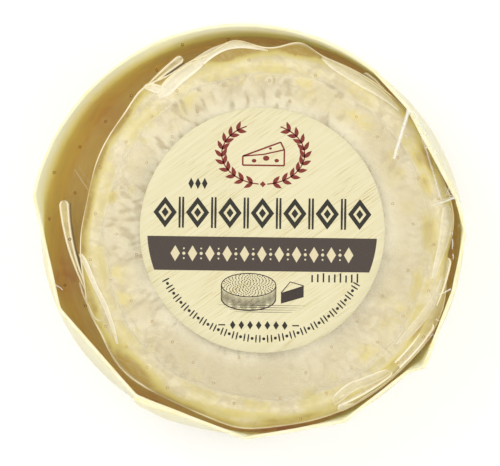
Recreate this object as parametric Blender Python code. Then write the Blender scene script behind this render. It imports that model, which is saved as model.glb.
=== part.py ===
"""A small soft cheese in a thin pleated wrap, off centre in its own round board tray, under a
clear film that is shrunk over the rim, with a round paper label on top.

Metres, +Z up. The tray stands on z = 0, and +Y is the top of the label. Angles are in degrees,
counter-clockwise from +X. Every sub-part is one closed skin of rings, from pole to pole.
"""

import math
from collections import namedtuple

import bmesh
import bpy
from mathutils import Vector, noise

GAP = 0.0003  # left between pieces that touch

# Tray: a thin board cup whose foot is a stiff circle and whose rim the film pulls into chords
BOARD = 0.0009
WALL_HEIGHT = 0.0300
LIP_ROUND = 0.00025
FOOT_CENTRE = Vector((0.0019, -0.0011, 0.0))
FOOT_RADIUS = 0.0538
FOOT_ROUND = 0.0013
BELLY_HEIGHT = 0.0135  # where the wall stands out furthest under a chord
BELLY_CENTRE = Vector((0.0007, -0.0006, 0.0))
BELLY_MEAN = 0.0553
BELLY_SWING = 0.0014  # the belly is a slight oval
BELLY_TURN = -10.0
RIM_CENTRE = Vector((-0.0020, -0.0016, 0.0))
RIM_RADIUS = 0.0560  # inner edge of the arc that stayed round
WALL_STEPS = 56
WALL_RINGS = (0.0050, 0.0090, BELLY_HEIGHT, 0.0215)  # heights between the foot and the lip
FLOOR_RING = 0.45  # share of the way in at which the floor and the base have a ring
CORNER_CLEAR = 2.5  # an even step nearer a corner than this is dropped

# The rim's inner edge beyond its round arc: chords from corner to corner, as angle and radius
RIM_CORNERS = (
    (168.3, 0.0560),
    (201.1, 0.0516),
    (236.0, 0.0501),
    (270.7, 0.0528),
    (298.9, 0.0552),
    (321.0, 0.0561),
    (324.4, 0.0588),
    (346.0, 0.0573),
    (362.0, 0.0588),
    (370.4, 0.0573),
    (398.5, 0.0554),
    (411.8, 0.0560),
)

# The board's two ends overlap at a rim corner, as a low step that fades out along the wall
LAP_ANGLE = 236.0
LAP_FADE = 24.0
LAP_EDGE = 0.4
FILM_LEAD = 1.4  # how far before the step the film begins to rise over it

# Cheese: a low wheel with a rounded shoulder and a wrinkled rind
CHEESE_CENTRE = Vector((0.0047, -0.0015, 0.0))
CHEESE_RADIUS = 0.0464
CHEESE_HEIGHT = 0.0274
CHEESE_BASE = BOARD + GAP
CHEESE_TOP = CHEESE_BASE + CHEESE_HEIGHT
CHEESE_DOME = 0.0006
SHOULDER = 0.0045
SHOULDER_SLOPES = (80.0, 58.0, 35.0, 10.0)
BULGE_SHARE = 0.45  # share of the height at which the side stands out furthest
FOOT_SHOULDER = 0.0035
FOOT_SLOPES = (-12.0, -50.0, -85.0)
CHEESE_STEPS = 80
TOP_RADII = (0.009, 0.017, 0.024, 0.030, 0.0352, 0.0392)
LUMP_SIZE = 0.009
LUMP_RISE = 0.00060
LUMP_SEED = Vector((0.0, 0.0, 4.7))
WRINKLE_RISE = 0.00060
WRINKLE_TURNS = 5.5
WRINKLE_DRIFT = 18.0  # how fast the wrinkles change on their way out, each metre
WRINKLE_START = 0.016
RELIEF_LIMIT = 0.00040
SIDE_RELIEF = 0.35  # share of the relief that the side keeps

# Wrap: a thin sheet over the cheese that hangs clear of its side in ruffles
WRAP = 0.0005
WRAP_RADIUS = 0.0502
WRAP_CLEARANCE = 0.0006
WRAP_RINGS = len(TOP_RADII) + 2  # rings of the cheese's section that the wrap lies on

Ruffle = namedtuple("Ruffle", "angle rise spread")
RUFFLES = (
    Ruffle(80.5, 0.0024, 5.5),
    Ruffle(100.0, 0.0030, 6.5),
    Ruffle(113.0, 0.0015, 6.0),
    Ruffle(130.0, 0.0019, 7.0),
    Ruffle(168.0, -0.0012, 12.0),
    Ruffle(222.0, 0.0022, 13.0),
    Ruffle(262.0, 0.0011, 9.0),
    Ruffle(331.0, 0.0008, 8.0),
    Ruffle(352.0, -0.0012, 9.0),
    Ruffle(21.0, -0.0011, 9.0),
)

# Each ring of the skirt: share of the way out to the ruffled outline, and height
SkirtRing = namedtuple("SkirtRing", "outward height")
SKIRT = (
    SkirtRing(0.62, 0.0262),
    SkirtRing(1.00, 0.0232),
    SkirtRing(0.94, 0.0150),
    SkirtRing(0.66, 0.0080),
    SkirtRing(0.16, 0.0036),
)

# Folds: flat upright loops of wrap, each from a root in the skirt to a rounded free end,
# given by angle and radius from the cheese's axis
Fold = namedtuple("Fold", "name root root_radius tip tip_radius width low high")
FOLDS = (
    Fold("fold_left", 200.0, 0.0484, 171.0, 0.0549, 0.0027, 0.0045, 0.0236),
    Fold("fold_top_left", 131.0, 0.0500, 115.5, 0.0527, 0.0022, 0.0061, 0.0241),
    Fold("fold_top_right", 45.0, 0.0482, 58.5, 0.0505, 0.0021, 0.0064, 0.0240),
    Fold("fold_right", 336.0, 0.0482, 352.0, 0.0489, 0.0020, 0.0096, 0.0272),
    Fold("fold_lower_right", 317.0, 0.0482, 331.0, 0.0484, 0.0019, 0.0088, 0.0275),
    Fold("fold_bottom_right", 296.0, 0.0480, 311.5, 0.0481, 0.0019, 0.0092, 0.0276),
)
FOLD_CURVE = 1.6  # how late a fold leaves the skirt
FOLD_STEPS = 8
FOLD_END_STEPS = 5

# Film: clear, drawn tight from the label out over the rim and down the wall
FILM = 0.00035
FILM_TOP = 0.0301  # underside, over the cheese
FILM_SAG = 0.0007  # over the free space round the cheese
FILM_FOOT = 0.0016
FilmRing = namedtuple("FilmRing", "outward sag")
FILM_RINGS = (
    FilmRing(0.36, 0.0),
    FilmRing(0.70, 0.0),
    FilmRing(0.82, 0.45),
    FilmRing(0.90, 1.0),
    FilmRing(0.965, 0.25),
)

# Label: a paper disc on the film
LABEL_CENTRE = Vector((0.0033, 0.0004, 0.0))
LABEL_RADIUS = 0.0325
LABEL_THICKNESS = 0.0003
LABEL_TURN = -0.75
LABEL_STEPS = 72
SHARP_ANGLE = math.radians(38)
PARALLEL = 1e-12  # a cross product below this is that of parallel lines


def clear_scene():
    """Removes every object, so that the part can also be built from the text editor."""
    for found in list(bpy.data.objects):
        bpy.data.objects.remove(found, do_unlink=True)


def make_material(name, colour, roughness, alpha=1.0):
    """One Principled material in the part's own colour."""
    made = bpy.data.materials.new(name)
    made.use_nodes = True
    shader = made.node_tree.nodes["Principled BSDF"]
    shader.inputs["Base Color"].default_value = (*colour, 1.0)
    shader.inputs["Roughness"].default_value = roughness
    shader.inputs["Metallic"].default_value = 0.0
    shader.inputs["Alpha"].default_value = alpha
    made.diffuse_color = (*colour, alpha)
    return made


def around(degrees):
    """The unit direction at an angle in plan."""
    turn = math.radians(degrees)
    return Vector((math.cos(turn), math.sin(turn), 0.0))


def ease(value):
    """A smooth 0 to 1."""
    held = min(max(value, 0.0), 1.0)
    return held * held * (3.0 - 2.0 * held)


def angle_between(first, second):
    """How far apart two angles are, signed, from -180 to 180."""
    return (first - second + 180.0) % 360.0 - 180.0


def skin_rings(name, start, rings, end, material):
    """One closed body: a fan from the start pole, bands from ring to ring, a fan to the end pole."""
    mesh = bpy.data.meshes.new(name)
    made = bpy.data.objects.new(name, mesh)
    bpy.context.scene.collection.objects.link(made)
    shape = bmesh.new()
    loops = [[shape.verts.new(point) for point in ring] for ring in rings]
    first_pole = shape.verts.new(start)
    last_pole = shape.verts.new(end)
    steps = len(loops[0])
    for i in range(steps):
        after = (i + 1) % steps
        shape.faces.new((first_pole, loops[0][i], loops[0][after]))
        shape.faces.new((last_pole, loops[-1][after], loops[-1][i]))
    for inner, outer in zip(loops, loops[1:]):
        for i in range(steps):
            after = (i + 1) % steps
            shape.faces.new((inner[i], outer[i], outer[after], inner[after]))
    bmesh.ops.recalc_face_normals(shape, faces=shape.faces)
    shape.to_mesh(mesh)
    shape.free()
    mesh.shade_smooth()
    mesh.set_sharp_from_angle(angle=SHARP_ANGLE)
    mesh.materials.append(material)
    return made


def chord_radius(degrees, first, second):
    """The radius at which a ray at this angle meets the line between two polar corners."""
    (angle_a, radius_a), (angle_b, radius_b) = first, second
    whole = math.sin(math.radians(angle_b - angle_a))
    near = math.sin(math.radians(degrees - angle_a))
    far = math.sin(math.radians(angle_b - degrees))
    return radius_a * radius_b * whole / (radius_b * far + radius_a * near)


def rim_radius(degrees):
    """The rim's inner edge: a round arc, and chords between the corners."""
    turned = degrees if degrees >= RIM_CORNERS[0][0] else degrees + 360.0
    for first, second in zip(RIM_CORNERS, RIM_CORNERS[1:]):
        if first[0] <= turned <= second[0]:
            return chord_radius(turned, first, second)
    return RIM_RADIUS


def lap_rise(degrees, lead):
    """How far the lapped end of the board stands off the wall beneath it."""
    past = angle_between(degrees, LAP_ANGLE)
    if past < 0.0:
        return BOARD * ease(1.0 + past / lead)
    return BOARD * (1.0 - ease(past / LAP_FADE))


def wall_angles():
    """Even steps, with every corner of the rim and the edge of the lap added."""
    corners = [angle % 360.0 for angle, _ in RIM_CORNERS]
    edges = [LAP_ANGLE - LAP_EDGE, LAP_ANGLE - FILM_LEAD]
    kept = []
    for i in range(WALL_STEPS):
        even = i * 360.0 / WALL_STEPS
        if all(abs(angle_between(even, corner)) > CORNER_CLEAR for corner in corners):
            kept.append(even)
    return sorted(kept + corners + edges)


def wall_point(degrees, height, outset, lead=LAP_EDGE):
    """A point of the tray's outer wall, moved outwards by outset. The foot is a circle, the
    belly an oval, and the rim has the chords."""
    out = around(degrees)
    foot = FOOT_CENTRE + out * FOOT_RADIUS
    swing = BELLY_SWING * math.cos(2.0 * math.radians(degrees - BELLY_TURN))
    belly = BELLY_CENTRE + out * (BELLY_MEAN + swing)
    rim = RIM_CENTRE + out * (rim_radius(degrees) + BOARD)
    if height < BELLY_HEIGHT:
        share = math.sin(0.5 * math.pi * max(height, 0.0) / BELLY_HEIGHT)
        point = foot.lerp(belly, share)
    else:
        share = (height - BELLY_HEIGHT) / (WALL_HEIGHT - BELLY_HEIGHT)
        point = belly.lerp(rim, min(share, 1.0))
    if outset >= 0.0:
        point = point + out * lap_rise(degrees, lead)
    point = point + out * outset
    point.z = height
    return point


def wall_ring(height, outset, lead=LAP_EDGE):
    """The wall's section at one height."""
    return [wall_point(degrees, height, outset, lead) for degrees in wall_angles()]


def build_tray():
    """A base plate and a leaning wall with a rounded lip, as one skin."""
    board = make_material("tray_board", (0.86, 0.76, 0.53), 0.62)
    lip = WALL_HEIGHT - LIP_ROUND
    base, floor = Vector((0.0, 0.0, 0.0)), Vector((0.0, 0.0, BOARD))
    outer_foot = wall_ring(0.0, -FOOT_ROUND)
    inner_foot = wall_ring(BOARD, -BOARD - FOOT_ROUND)
    rings = [
        [base.lerp(point, 1.0 - FLOOR_RING) for point in outer_foot],
        outer_foot,
        wall_ring(FOOT_ROUND, 0.0),
        *[wall_ring(height, 0.0) for height in WALL_RINGS],
        wall_ring(lip, 0.0),
        wall_ring(WALL_HEIGHT, -0.5 * BOARD),
        wall_ring(lip, -BOARD),
        *[wall_ring(height, -BOARD) for height in reversed(WALL_RINGS)],
        wall_ring(BOARD + FOOT_ROUND, -BOARD),
        inner_foot,
        [floor.lerp(point, 1.0 - FLOOR_RING) for point in inner_foot],
    ]
    return skin_rings("tray", base, rings, floor, board)


def rind_relief(degrees, radius):
    """Height of the wrinkled rind over its smooth form: lumps, and wrinkles that run outwards."""
    out = around(degrees)
    place = out * (radius / LUMP_SIZE)
    lumps = LUMP_RISE * noise.noise(place + LUMP_SEED)
    spoke = out * WRINKLE_TURNS + Vector((0.0, 0.0, WRINKLE_DRIFT * radius))
    grown = ease((radius - WRINKLE_START) / WRINKLE_START)
    wrinkles = WRINKLE_RISE * grown * noise.noise(spoke)
    return min(max(lumps + wrinkles, -RELIEF_LIMIT), RELIEF_LIMIT)


def cheese_profile():
    """The wheel's section from the top out and down: radius, height and slope of its normal."""
    section = []
    for radius in TOP_RADII:
        drop = CHEESE_DOME * (radius / CHEESE_RADIUS) ** 2
        section.append((radius, CHEESE_TOP - drop, 90.0))
    edge = CHEESE_TOP - CHEESE_DOME
    for slope in SHOULDER_SLOPES:
        lean = around(slope)
        radius = CHEESE_RADIUS - SHOULDER + SHOULDER * lean.x
        section.append((radius, edge - SHOULDER + SHOULDER * lean.y, slope))
    section.append((CHEESE_RADIUS + GAP, CHEESE_BASE + BULGE_SHARE * CHEESE_HEIGHT, 0.0))
    for slope in FOOT_SLOPES:
        lean = around(slope)
        radius = CHEESE_RADIUS - FOOT_SHOULDER + FOOT_SHOULDER * lean.x
        section.append((radius, CHEESE_BASE + FOOT_SHOULDER + FOOT_SHOULDER * lean.y, slope))
    return section


def cheese_point(degrees, part, offset):
    """A point of the rind, or of a skin this far off it."""
    radius, height, slope = part
    lean = around(slope)
    rise = rind_relief(degrees, radius) * max(lean.y, SIDE_RELIEF * lean.x, 0.0) + offset
    point = CHEESE_CENTRE + around(degrees) * (radius + rise * lean.x)
    point.z = height + rise * lean.y
    return point


def cheese_angles():
    """Even steps round the wheel."""
    return [i * 360.0 / CHEESE_STEPS for i in range(CHEESE_STEPS)]


def build_cheese():
    """The wheel with its wrinkled rind."""
    rind = make_material("cheese_rind", (0.90, 0.85, 0.70), 0.75)
    rings = [
        [cheese_point(degrees, part, 0.0) for degrees in cheese_angles()]
        for part in cheese_profile()
    ]
    top = CHEESE_CENTRE + Vector((0.0, 0.0, CHEESE_TOP))
    base = CHEESE_CENTRE + Vector((0.0, 0.0, CHEESE_BASE))
    return skin_rings("cheese", top, rings, base, rind)


def room_inside(degrees, height):
    """How far a level ray from the cheese's axis runs before it meets the tray's inner wall."""
    wall = wall_ring(height, -BOARD)
    out = around(degrees)
    nearest = 2.0 * BELLY_MEAN
    for first, second in zip(wall, wall[1:] + wall[:1]):
        side = second - first
        across = out.x * side.y - out.y * side.x
        if abs(across) < PARALLEL:
            continue
        reach = first - CHEESE_CENTRE
        length = (reach.x * side.y - reach.y * side.x) / across
        share = (reach.x * out.y - reach.y * out.x) / across
        if length > 0.0 and 0.0 <= share <= 1.0:
            nearest = min(nearest, length)
    return nearest


def ruffle_rise(degrees):
    """How far the wrap's outline stands out from its mean radius."""
    rise = 0.0
    for ruffle in RUFFLES:
        away = angle_between(degrees, ruffle.angle) / ruffle.spread
        rise += ruffle.rise * math.exp(-away * away)
    return rise


def skirt_point(degrees, ring, inset):
    """A point of the hanging skirt, kept clear of the cheese inside and the tray outside."""
    rise = ruffle_rise(degrees)
    nearest = CHEESE_RADIUS + 2.0 * GAP + WRAP
    outline = WRAP_RADIUS + rise
    radius = nearest + (outline - nearest) * ring.outward
    radius = min(radius, room_inside(degrees, ring.height) - WRAP_CLEARANCE)
    point = CHEESE_CENTRE + around(degrees) * (radius - inset)
    point.z = ring.height
    return point


def wrap_rings(offset, inset):
    """One face of the wrap: it follows the rind to the shoulder, then hangs as the skirt."""
    rings = []
    for part in cheese_profile()[:WRAP_RINGS]:
        rings.append([cheese_point(degrees, part, offset) for degrees in cheese_angles()])
    for ring in SKIRT:
        rings.append([skirt_point(degrees, ring, inset) for degrees in cheese_angles()])
    return rings


def fold_side(fold, share, side):
    """A point on one side of a fold, from the root at 0 to the free end at 1."""
    degrees = fold.root + (fold.tip - fold.root) * share
    room = min(room_inside(degrees, height) for height in (fold.low, fold.high))
    middle = fold.root_radius + (fold.tip_radius - fold.root_radius) * share**FOLD_CURVE
    middle = min(middle, room - WRAP_CLEARANCE - 0.5 * fold.width)
    return CHEESE_CENTRE + around(degrees) * (middle + side * 0.5 * fold.width)


def build_fold(fold, holder):
    """A prism in the shape of a flat loop of wrap, rounded at its free end."""
    near = [fold_side(fold, i / FOLD_STEPS, -1.0) for i in range(FOLD_STEPS + 1)]
    far = [fold_side(fold, i / FOLD_STEPS, 1.0) for i in range(FOLD_STEPS + 1)]
    middle = near[-1].lerp(far[-1], 0.5)
    across = far[-1] - middle
    along = (far[-1] - far[-2]).normalized() * across.length
    cap = []
    for i in range(1, FOLD_END_STEPS):
        turn = math.pi * i / FOLD_END_STEPS
        cap.append(middle - across * math.cos(turn) + along * math.sin(turn))
    outline = near + cap + far[::-1]
    mesh = bpy.data.meshes.new(fold.name)
    holder.objects.link(bpy.data.objects.new(fold.name, mesh))
    shape = bmesh.new()
    lift = Vector((0.0, 0.0, fold.low))
    face = shape.faces.new([shape.verts.new(point.xy.to_3d() + lift) for point in outline])
    raised = bmesh.ops.extrude_face_region(shape, geom=[face])
    top = [item for item in raised["geom"] if isinstance(item, bmesh.types.BMVert)]
    bmesh.ops.translate(shape, vec=(0.0, 0.0, fold.high - fold.low), verts=top)
    bmesh.ops.recalc_face_normals(shape, faces=shape.faces)
    shape.to_mesh(mesh)
    shape.free()


def fuse_folds(wrap):
    """Joins every fold to the wrap in one union, and removes what it was joined from."""
    holder = bpy.data.collections.new("folds")
    bpy.context.scene.collection.children.link(holder)
    for fold in FOLDS:
        build_fold(fold, holder)
    fuse = wrap.modifiers.new("Fuse folds", "BOOLEAN")
    fuse.operation = "UNION"
    fuse.solver = "EXACT"
    fuse.operand_type = "COLLECTION"
    fuse.collection = holder
    bpy.context.view_layer.objects.active = wrap
    bpy.ops.object.modifier_apply(modifier=fuse.name)
    for fold in list(holder.objects):
        bpy.data.objects.remove(fold, do_unlink=True)
    bpy.data.collections.remove(holder)
    wrap.data.set_sharp_from_angle(angle=SHARP_ANGLE)


def build_wrap():
    """The wrap over the cheese, with the loops that stand off it fused on."""
    sheet = make_material("wrap_sheet", (0.93, 0.90, 0.80), 0.35)
    outer = wrap_rings(GAP + WRAP, 0.0)
    inner = wrap_rings(GAP, WRAP)
    middle = (0.0, CHEESE_TOP, 90.0)
    top = cheese_point(0.0, middle, GAP + WRAP)
    under = cheese_point(0.0, middle, GAP)
    wrap = skin_rings("wrap", top, outer + inner[::-1], under, sheet)
    fuse_folds(wrap)
    return wrap


def film_rings(offset):
    """One face of the film: flat under the label, a slight sag, the lip, and down the wall."""
    rings = []
    for part in FILM_RINGS:
        ring = []
        for degrees in wall_angles():
            point = RIM_CENTRE + around(degrees) * (rim_radius(degrees) * part.outward)
            point.z = FILM_TOP + offset - FILM_SAG * part.sag
            ring.append(point)
        rings.append(ring)
    over_lip = wall_ring(WALL_HEIGHT, -0.5 * BOARD)
    rings.append([point + Vector((0.0, 0.0, GAP + offset)) for point in over_lip])
    for height in (WALL_HEIGHT, *reversed(WALL_RINGS), FILM_FOOT):
        rings.append(wall_ring(height, GAP + offset, FILM_LEAD))
    return rings


def build_film():
    """The clear film over the pack."""
    clear = make_material("film_clear", (0.97, 0.97, 0.94), 0.08, alpha=0.25)
    rings = film_rings(FILM) + film_rings(0.0)[::-1]
    top = RIM_CENTRE + Vector((0.0, 0.0, FILM_TOP + FILM))
    under = RIM_CENTRE + Vector((0.0, 0.0, FILM_TOP))
    return skin_rings("film", top, rings, under, clear)


def build_label():
    """The round paper label, flat on the film."""
    paper = make_material("label_paper", (0.93, 0.88, 0.66), 0.5)
    under = FILM_TOP + FILM + GAP
    bpy.ops.mesh.primitive_cylinder_add(
        vertices=LABEL_STEPS,
        radius=LABEL_RADIUS,
        depth=LABEL_THICKNESS,
        location=LABEL_CENTRE + Vector((0.0, 0.0, under + 0.5 * LABEL_THICKNESS)),
        rotation=(0.0, 0.0, math.radians(LABEL_TURN)),
    )
    label = bpy.context.active_object
    label.name = "label"
    label.data.name = "label"
    label.data.shade_smooth()
    label.data.set_sharp_from_angle(angle=SHARP_ANGLE)
    label.data.materials.append(paper)
    return label


def main():
    """Builds every sub-part."""
    clear_scene()
    build_tray()
    build_cheese()
    build_wrap()
    build_film()
    build_label()


main()
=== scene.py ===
"""The finished look of a small soft cheese, wrapped and sealed in its round board tray.

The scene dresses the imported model: a board tray, the wrinkled wheel, its thin pleated wrap, the
clear film drawn over all of it and a printed paper label. Metres, +Z up. Angles are in degrees,
counter-clockwise from +X. The tray, the wheel, the label, its print and the rings round the pin
holes are closed bodies. The wrap and the film, with their folds, are single thin sheets.
"""

import itertools
import logging
import math
from collections.abc import Mapping, Sequence
from dataclasses import dataclass, fields
from enum import Enum
from typing import Any, ClassVar

import bpy
import numpy as np
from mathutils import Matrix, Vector, noise


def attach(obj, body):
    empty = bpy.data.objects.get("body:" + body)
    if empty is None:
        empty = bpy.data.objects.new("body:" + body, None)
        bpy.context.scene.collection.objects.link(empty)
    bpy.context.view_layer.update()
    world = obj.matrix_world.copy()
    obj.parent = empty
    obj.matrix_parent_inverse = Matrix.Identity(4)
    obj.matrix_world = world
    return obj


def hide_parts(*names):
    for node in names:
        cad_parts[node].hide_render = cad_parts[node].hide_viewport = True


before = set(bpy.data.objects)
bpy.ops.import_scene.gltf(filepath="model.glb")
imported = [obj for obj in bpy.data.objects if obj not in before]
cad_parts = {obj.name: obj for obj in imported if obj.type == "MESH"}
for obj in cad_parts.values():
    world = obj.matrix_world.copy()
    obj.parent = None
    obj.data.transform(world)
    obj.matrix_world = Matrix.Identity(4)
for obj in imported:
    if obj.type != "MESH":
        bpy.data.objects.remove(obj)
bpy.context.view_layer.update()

LOG = logging.getLogger("cheese_pack")
BODY = "root"
MM = 0.001
GAP = 0.0003
SEED_STEP = np.array([17.3, 5.9, 11.7])

Socket = bpy.types.NodeSocket
Group = bpy.types.NodeTree
Material = bpy.types.Material
Piece = bpy.types.Object
Array = np.ndarray
Point = Sequence[float]
Pair = tuple[float, float]
Triple = tuple[float, float, float]
Paint = tuple[float, float, float, float]
Fade = tuple[float, float, float, float]


class Slot(Enum):
    """The record's material slots."""

    TRAY = "tray_board"
    CHEESE = "cheese_rind"
    WRAP = "wrap_sheet"
    FILM = "film_clear"
    LABEL = "label_paper"


class Seed(Enum):
    """Which stretch of the noise each uneven feature reads."""

    RIND = 0.0
    BOARD = 1.0
    LIP = 2.0
    RIND_WANDER = 3.0
    RIND_CREASE = 4.0
    RIND_PATCH = 5.0
    FILM_PULL = 6.0
    FILM_FOLD = 7.0
    FILM_CRINKLE = 8.0
    VEIL = 9.0
    RIDGE = 12.0


def around(degrees: Array) -> Array:
    """Unit directions in plan, one row for each angle."""
    turn = np.radians(degrees)
    return np.stack([np.cos(turn), np.sin(turn), np.zeros_like(turn)], axis=-1)


def evenly(steps: int) -> Array:
    """This many angles, evenly all round."""
    return np.arange(steps) * 360.0 / steps


def ease(value: Array | float) -> Array:
    """A smooth 0 to 1."""
    held = np.clip(value, 0.0, 1.0)
    return held * held * (3.0 - 2.0 * held)


def angle_between(first: Array | float, second: float) -> Array:
    """How far apart two angles are, signed, from -180 to 180."""
    return (np.asarray(first) - second + 180.0) % 360.0 - 180.0


def swell(distance: Array | float, spread: float) -> Array:
    """A soft bump that is 1 where the distance is 0."""
    return np.exp(-((np.asarray(distance) / spread) ** 2))


def ring_at(centre: Point, degrees: Array, radius: Any, height: Any) -> Array:
    """A ring of points round an upright axis.

    Args:
        centre: Where the axis stands.
        degrees: The direction of each point.
        radius: How far the points are from the axis.
        height: How high they are.

    Returns:
        A point for each direction.
    """
    ring = np.array(centre) + around(degrees) * np.reshape(radius, (-1, 1))
    ring[:, 2] = height
    return ring


def reach_from(centre: Point, places: Array) -> Array:
    """How far places are in plan from an upright axis."""
    away = places[..., :2] - np.array(centre)[:2]
    return np.linalg.norm(away, axis=-1)


def noise_at(places: Array, seed: Seed) -> Array:
    """Smooth noise from about -1 to 1.

    Args:
        places: Points in the noise's own units, on the last axis.
        seed: Which stretch of the noise is read.

    Returns:
        One value for each point.
    """
    moved = places.reshape(-1, 3) + seed.value * SEED_STEP
    values = [noise.noise(place) for place in moved.tolist()]
    return np.array(values).reshape(places.shape[:-1])


def flowing(knots: Array, steps: int) -> Array:
    """Smooth rows through the knots on the first axis.

    Args:
        knots: What the rows pass through.
        steps: How many rows stand for each stretch between two knots.

    Returns:
        The rows, with the last knot as the last row.
    """
    before = 2.0 * knots[:1] - knots[1:2]
    beyond = 2.0 * knots[-1:] - knots[-2:-1]
    padded = np.concatenate([before, knots, beyond])
    rows = []
    for i in range(len(knots) - 1):
        a, b, c, d = padded[i : i + 4]
        for t in np.arange(steps) / steps:
            bend = (2.0 * a - 5.0 * b + 4.0 * c - d) * t**2
            twist = (3.0 * b - a - 3.0 * c + d) * t**3
            rows.append(0.5 * (2.0 * b + (c - a) * t + bend + twist))
    rows.append(knots[-1])
    return np.stack(rows)


class Shape:
    """Bodies and sheets gathered into one mesh, with painted values at their points."""

    def __init__(self, name: str) -> None:
        """Starts an empty shape with the piece's name.

        Args:
            name: Its name.
        """
        self.name = name
        self.points: list[Array] = []
        self.faces: list[tuple[int, ...]] = []
        self.finish_of: list[int] = []
        self.paints: dict[str, list[Array]] = {}
        self.count = 0

    def add(self, points: Array, faces: list, finish: int = 0, **paints: Array) -> None:
        """Adds one body.

        Args:
            points: Its points.
            faces: Its faces, counted from its own first point.
            finish: Which of the piece's finishes the faces take.
            **paints: Values for each point, by name.
        """
        moved = [tuple(int(i) + self.count for i in face) for face in faces]
        self.faces.extend(moved)
        self.finish_of.extend([finish] * len(moved))
        for name in sorted({*self.paints, *paints}):
            values = np.ravel(paints.get(name, ()))
            flat = np.zeros(len(points))
            flat[: values.size] = values
            self.paints.setdefault(name, [np.zeros(self.count)]).append(flat)
        self.points.append(points)
        self.count += len(points)

    def skin(self, rings: Array, start: Point, end: Point | None, **paints: Any) -> None:
        """Adds a body of rings, from the pole that faces up or in to the one under or outside.

        Args:
            rings: Rings by steps by coordinates, from the start pole to the end pole.
            start: The first pole.
            end: The last pole, or nothing for a sheet that ends in a hem.
            **paints: Values for each ring and step, by name.
        """
        count, steps = rings.shape[:2]
        poles = [start] if end is None else [start, end]
        points = np.concatenate([rings.reshape(-1, 3), poles])
        row = np.arange(count - 1)[:, None] * steps
        here = np.arange(steps)[None, :]
        after = (here + 1) % steps
        quads = np.stack([row + here, row + steps + here, row + steps + after, row + after], -1)
        faces = quads.reshape(-1, 4).tolist()
        first, last = count * steps, count * steps + 1
        under = (count - 1) * steps
        faces.extend((first, i, (i + 1) % steps) for i in range(steps))
        if end is not None:
            faces.extend((last, under + (i + 1) % steps, under + i) for i in range(steps))
        self.add(points, faces, **paints)

    def ribbon(self, rows: Array, finish: int = 0, **paints: Array) -> None:
        """Adds a strip of sheet.

        Args:
            rows: Rows along it by points across it, from right to left seen along its length,
                by coordinates.
            finish: Which of the piece's finishes it takes.
            **paints: Values for each row and point, by name.
        """
        count, wide = rows.shape[:2]
        row = np.arange(count - 1)[:, None] * wide
        here = np.arange(wide - 1)[None, :]
        quads = np.stack([row + here, row + wide + here, row + wide + here + 1, row + here + 1], -1)
        self.add(rows.reshape(-1, 3), quads.reshape(-1, 4).tolist(), finish, **paints)

    def plate(self, outline: Array, low: float, high: float, finish: int = 0) -> None:
        """Adds a flat plate.

        Args:
            outline: Its outline in plan, counter-clockwise.
            low: The height of its underside.
            high: The height of its top.
            finish: Which of the piece's finishes it takes.
        """
        steps = len(outline)
        levels = [np.column_stack([outline, np.full(steps, z)]) for z in (low, high)]
        sides = [(i, (i + 1) % steps, steps + (i + 1) % steps, steps + i) for i in range(steps)]
        under = tuple(range(steps))[::-1]
        over = tuple(range(steps, 2 * steps))
        self.add(np.concatenate(levels), [*sides, under, over], finish)

    def build(self, finishes: Sequence[Material], sharp: float = 50.0) -> Piece:
        """Makes the piece.

        Args:
            finishes: Its materials.
            sharp: Edges steeper than this many degrees stay crisp.

        Returns:
            The new object.
        """
        mesh = bpy.data.meshes.new(self.name)
        mesh.from_pydata(np.concatenate(self.points).tolist(), [], self.faces)
        for finish in finishes:
            mesh.materials.append(finish)
        mesh.polygons.foreach_set("material_index", self.finish_of)
        for name, parts in self.paints.items():
            layer = mesh.attributes.new(name, "FLOAT", "POINT")
            layer.data.foreach_set("value", np.concatenate(parts).astype(np.float32))
        mesh.shade_smooth()
        mesh.set_sharp_from_angle(angle=math.radians(sharp))
        piece = bpy.data.objects.new(self.name, mesh)
        bpy.context.scene.collection.objects.link(piece)
        return piece


def tone(red: int, green: int, blue: int) -> Paint:
    """A colour from its values on a display, 0 to 255, as the shader's own linear ones.

    Args:
        red: Its red.
        green: Its green.
        blue: Its blue.

    Returns:
        The colour.
    """
    shown = np.array([red, green, blue]) / 255.0
    linear = np.where(shown <= 0.04045, shown / 12.92, ((shown + 0.055) / 1.055) ** 2.4)
    return (*linear.tolist(), 1.0)


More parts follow.
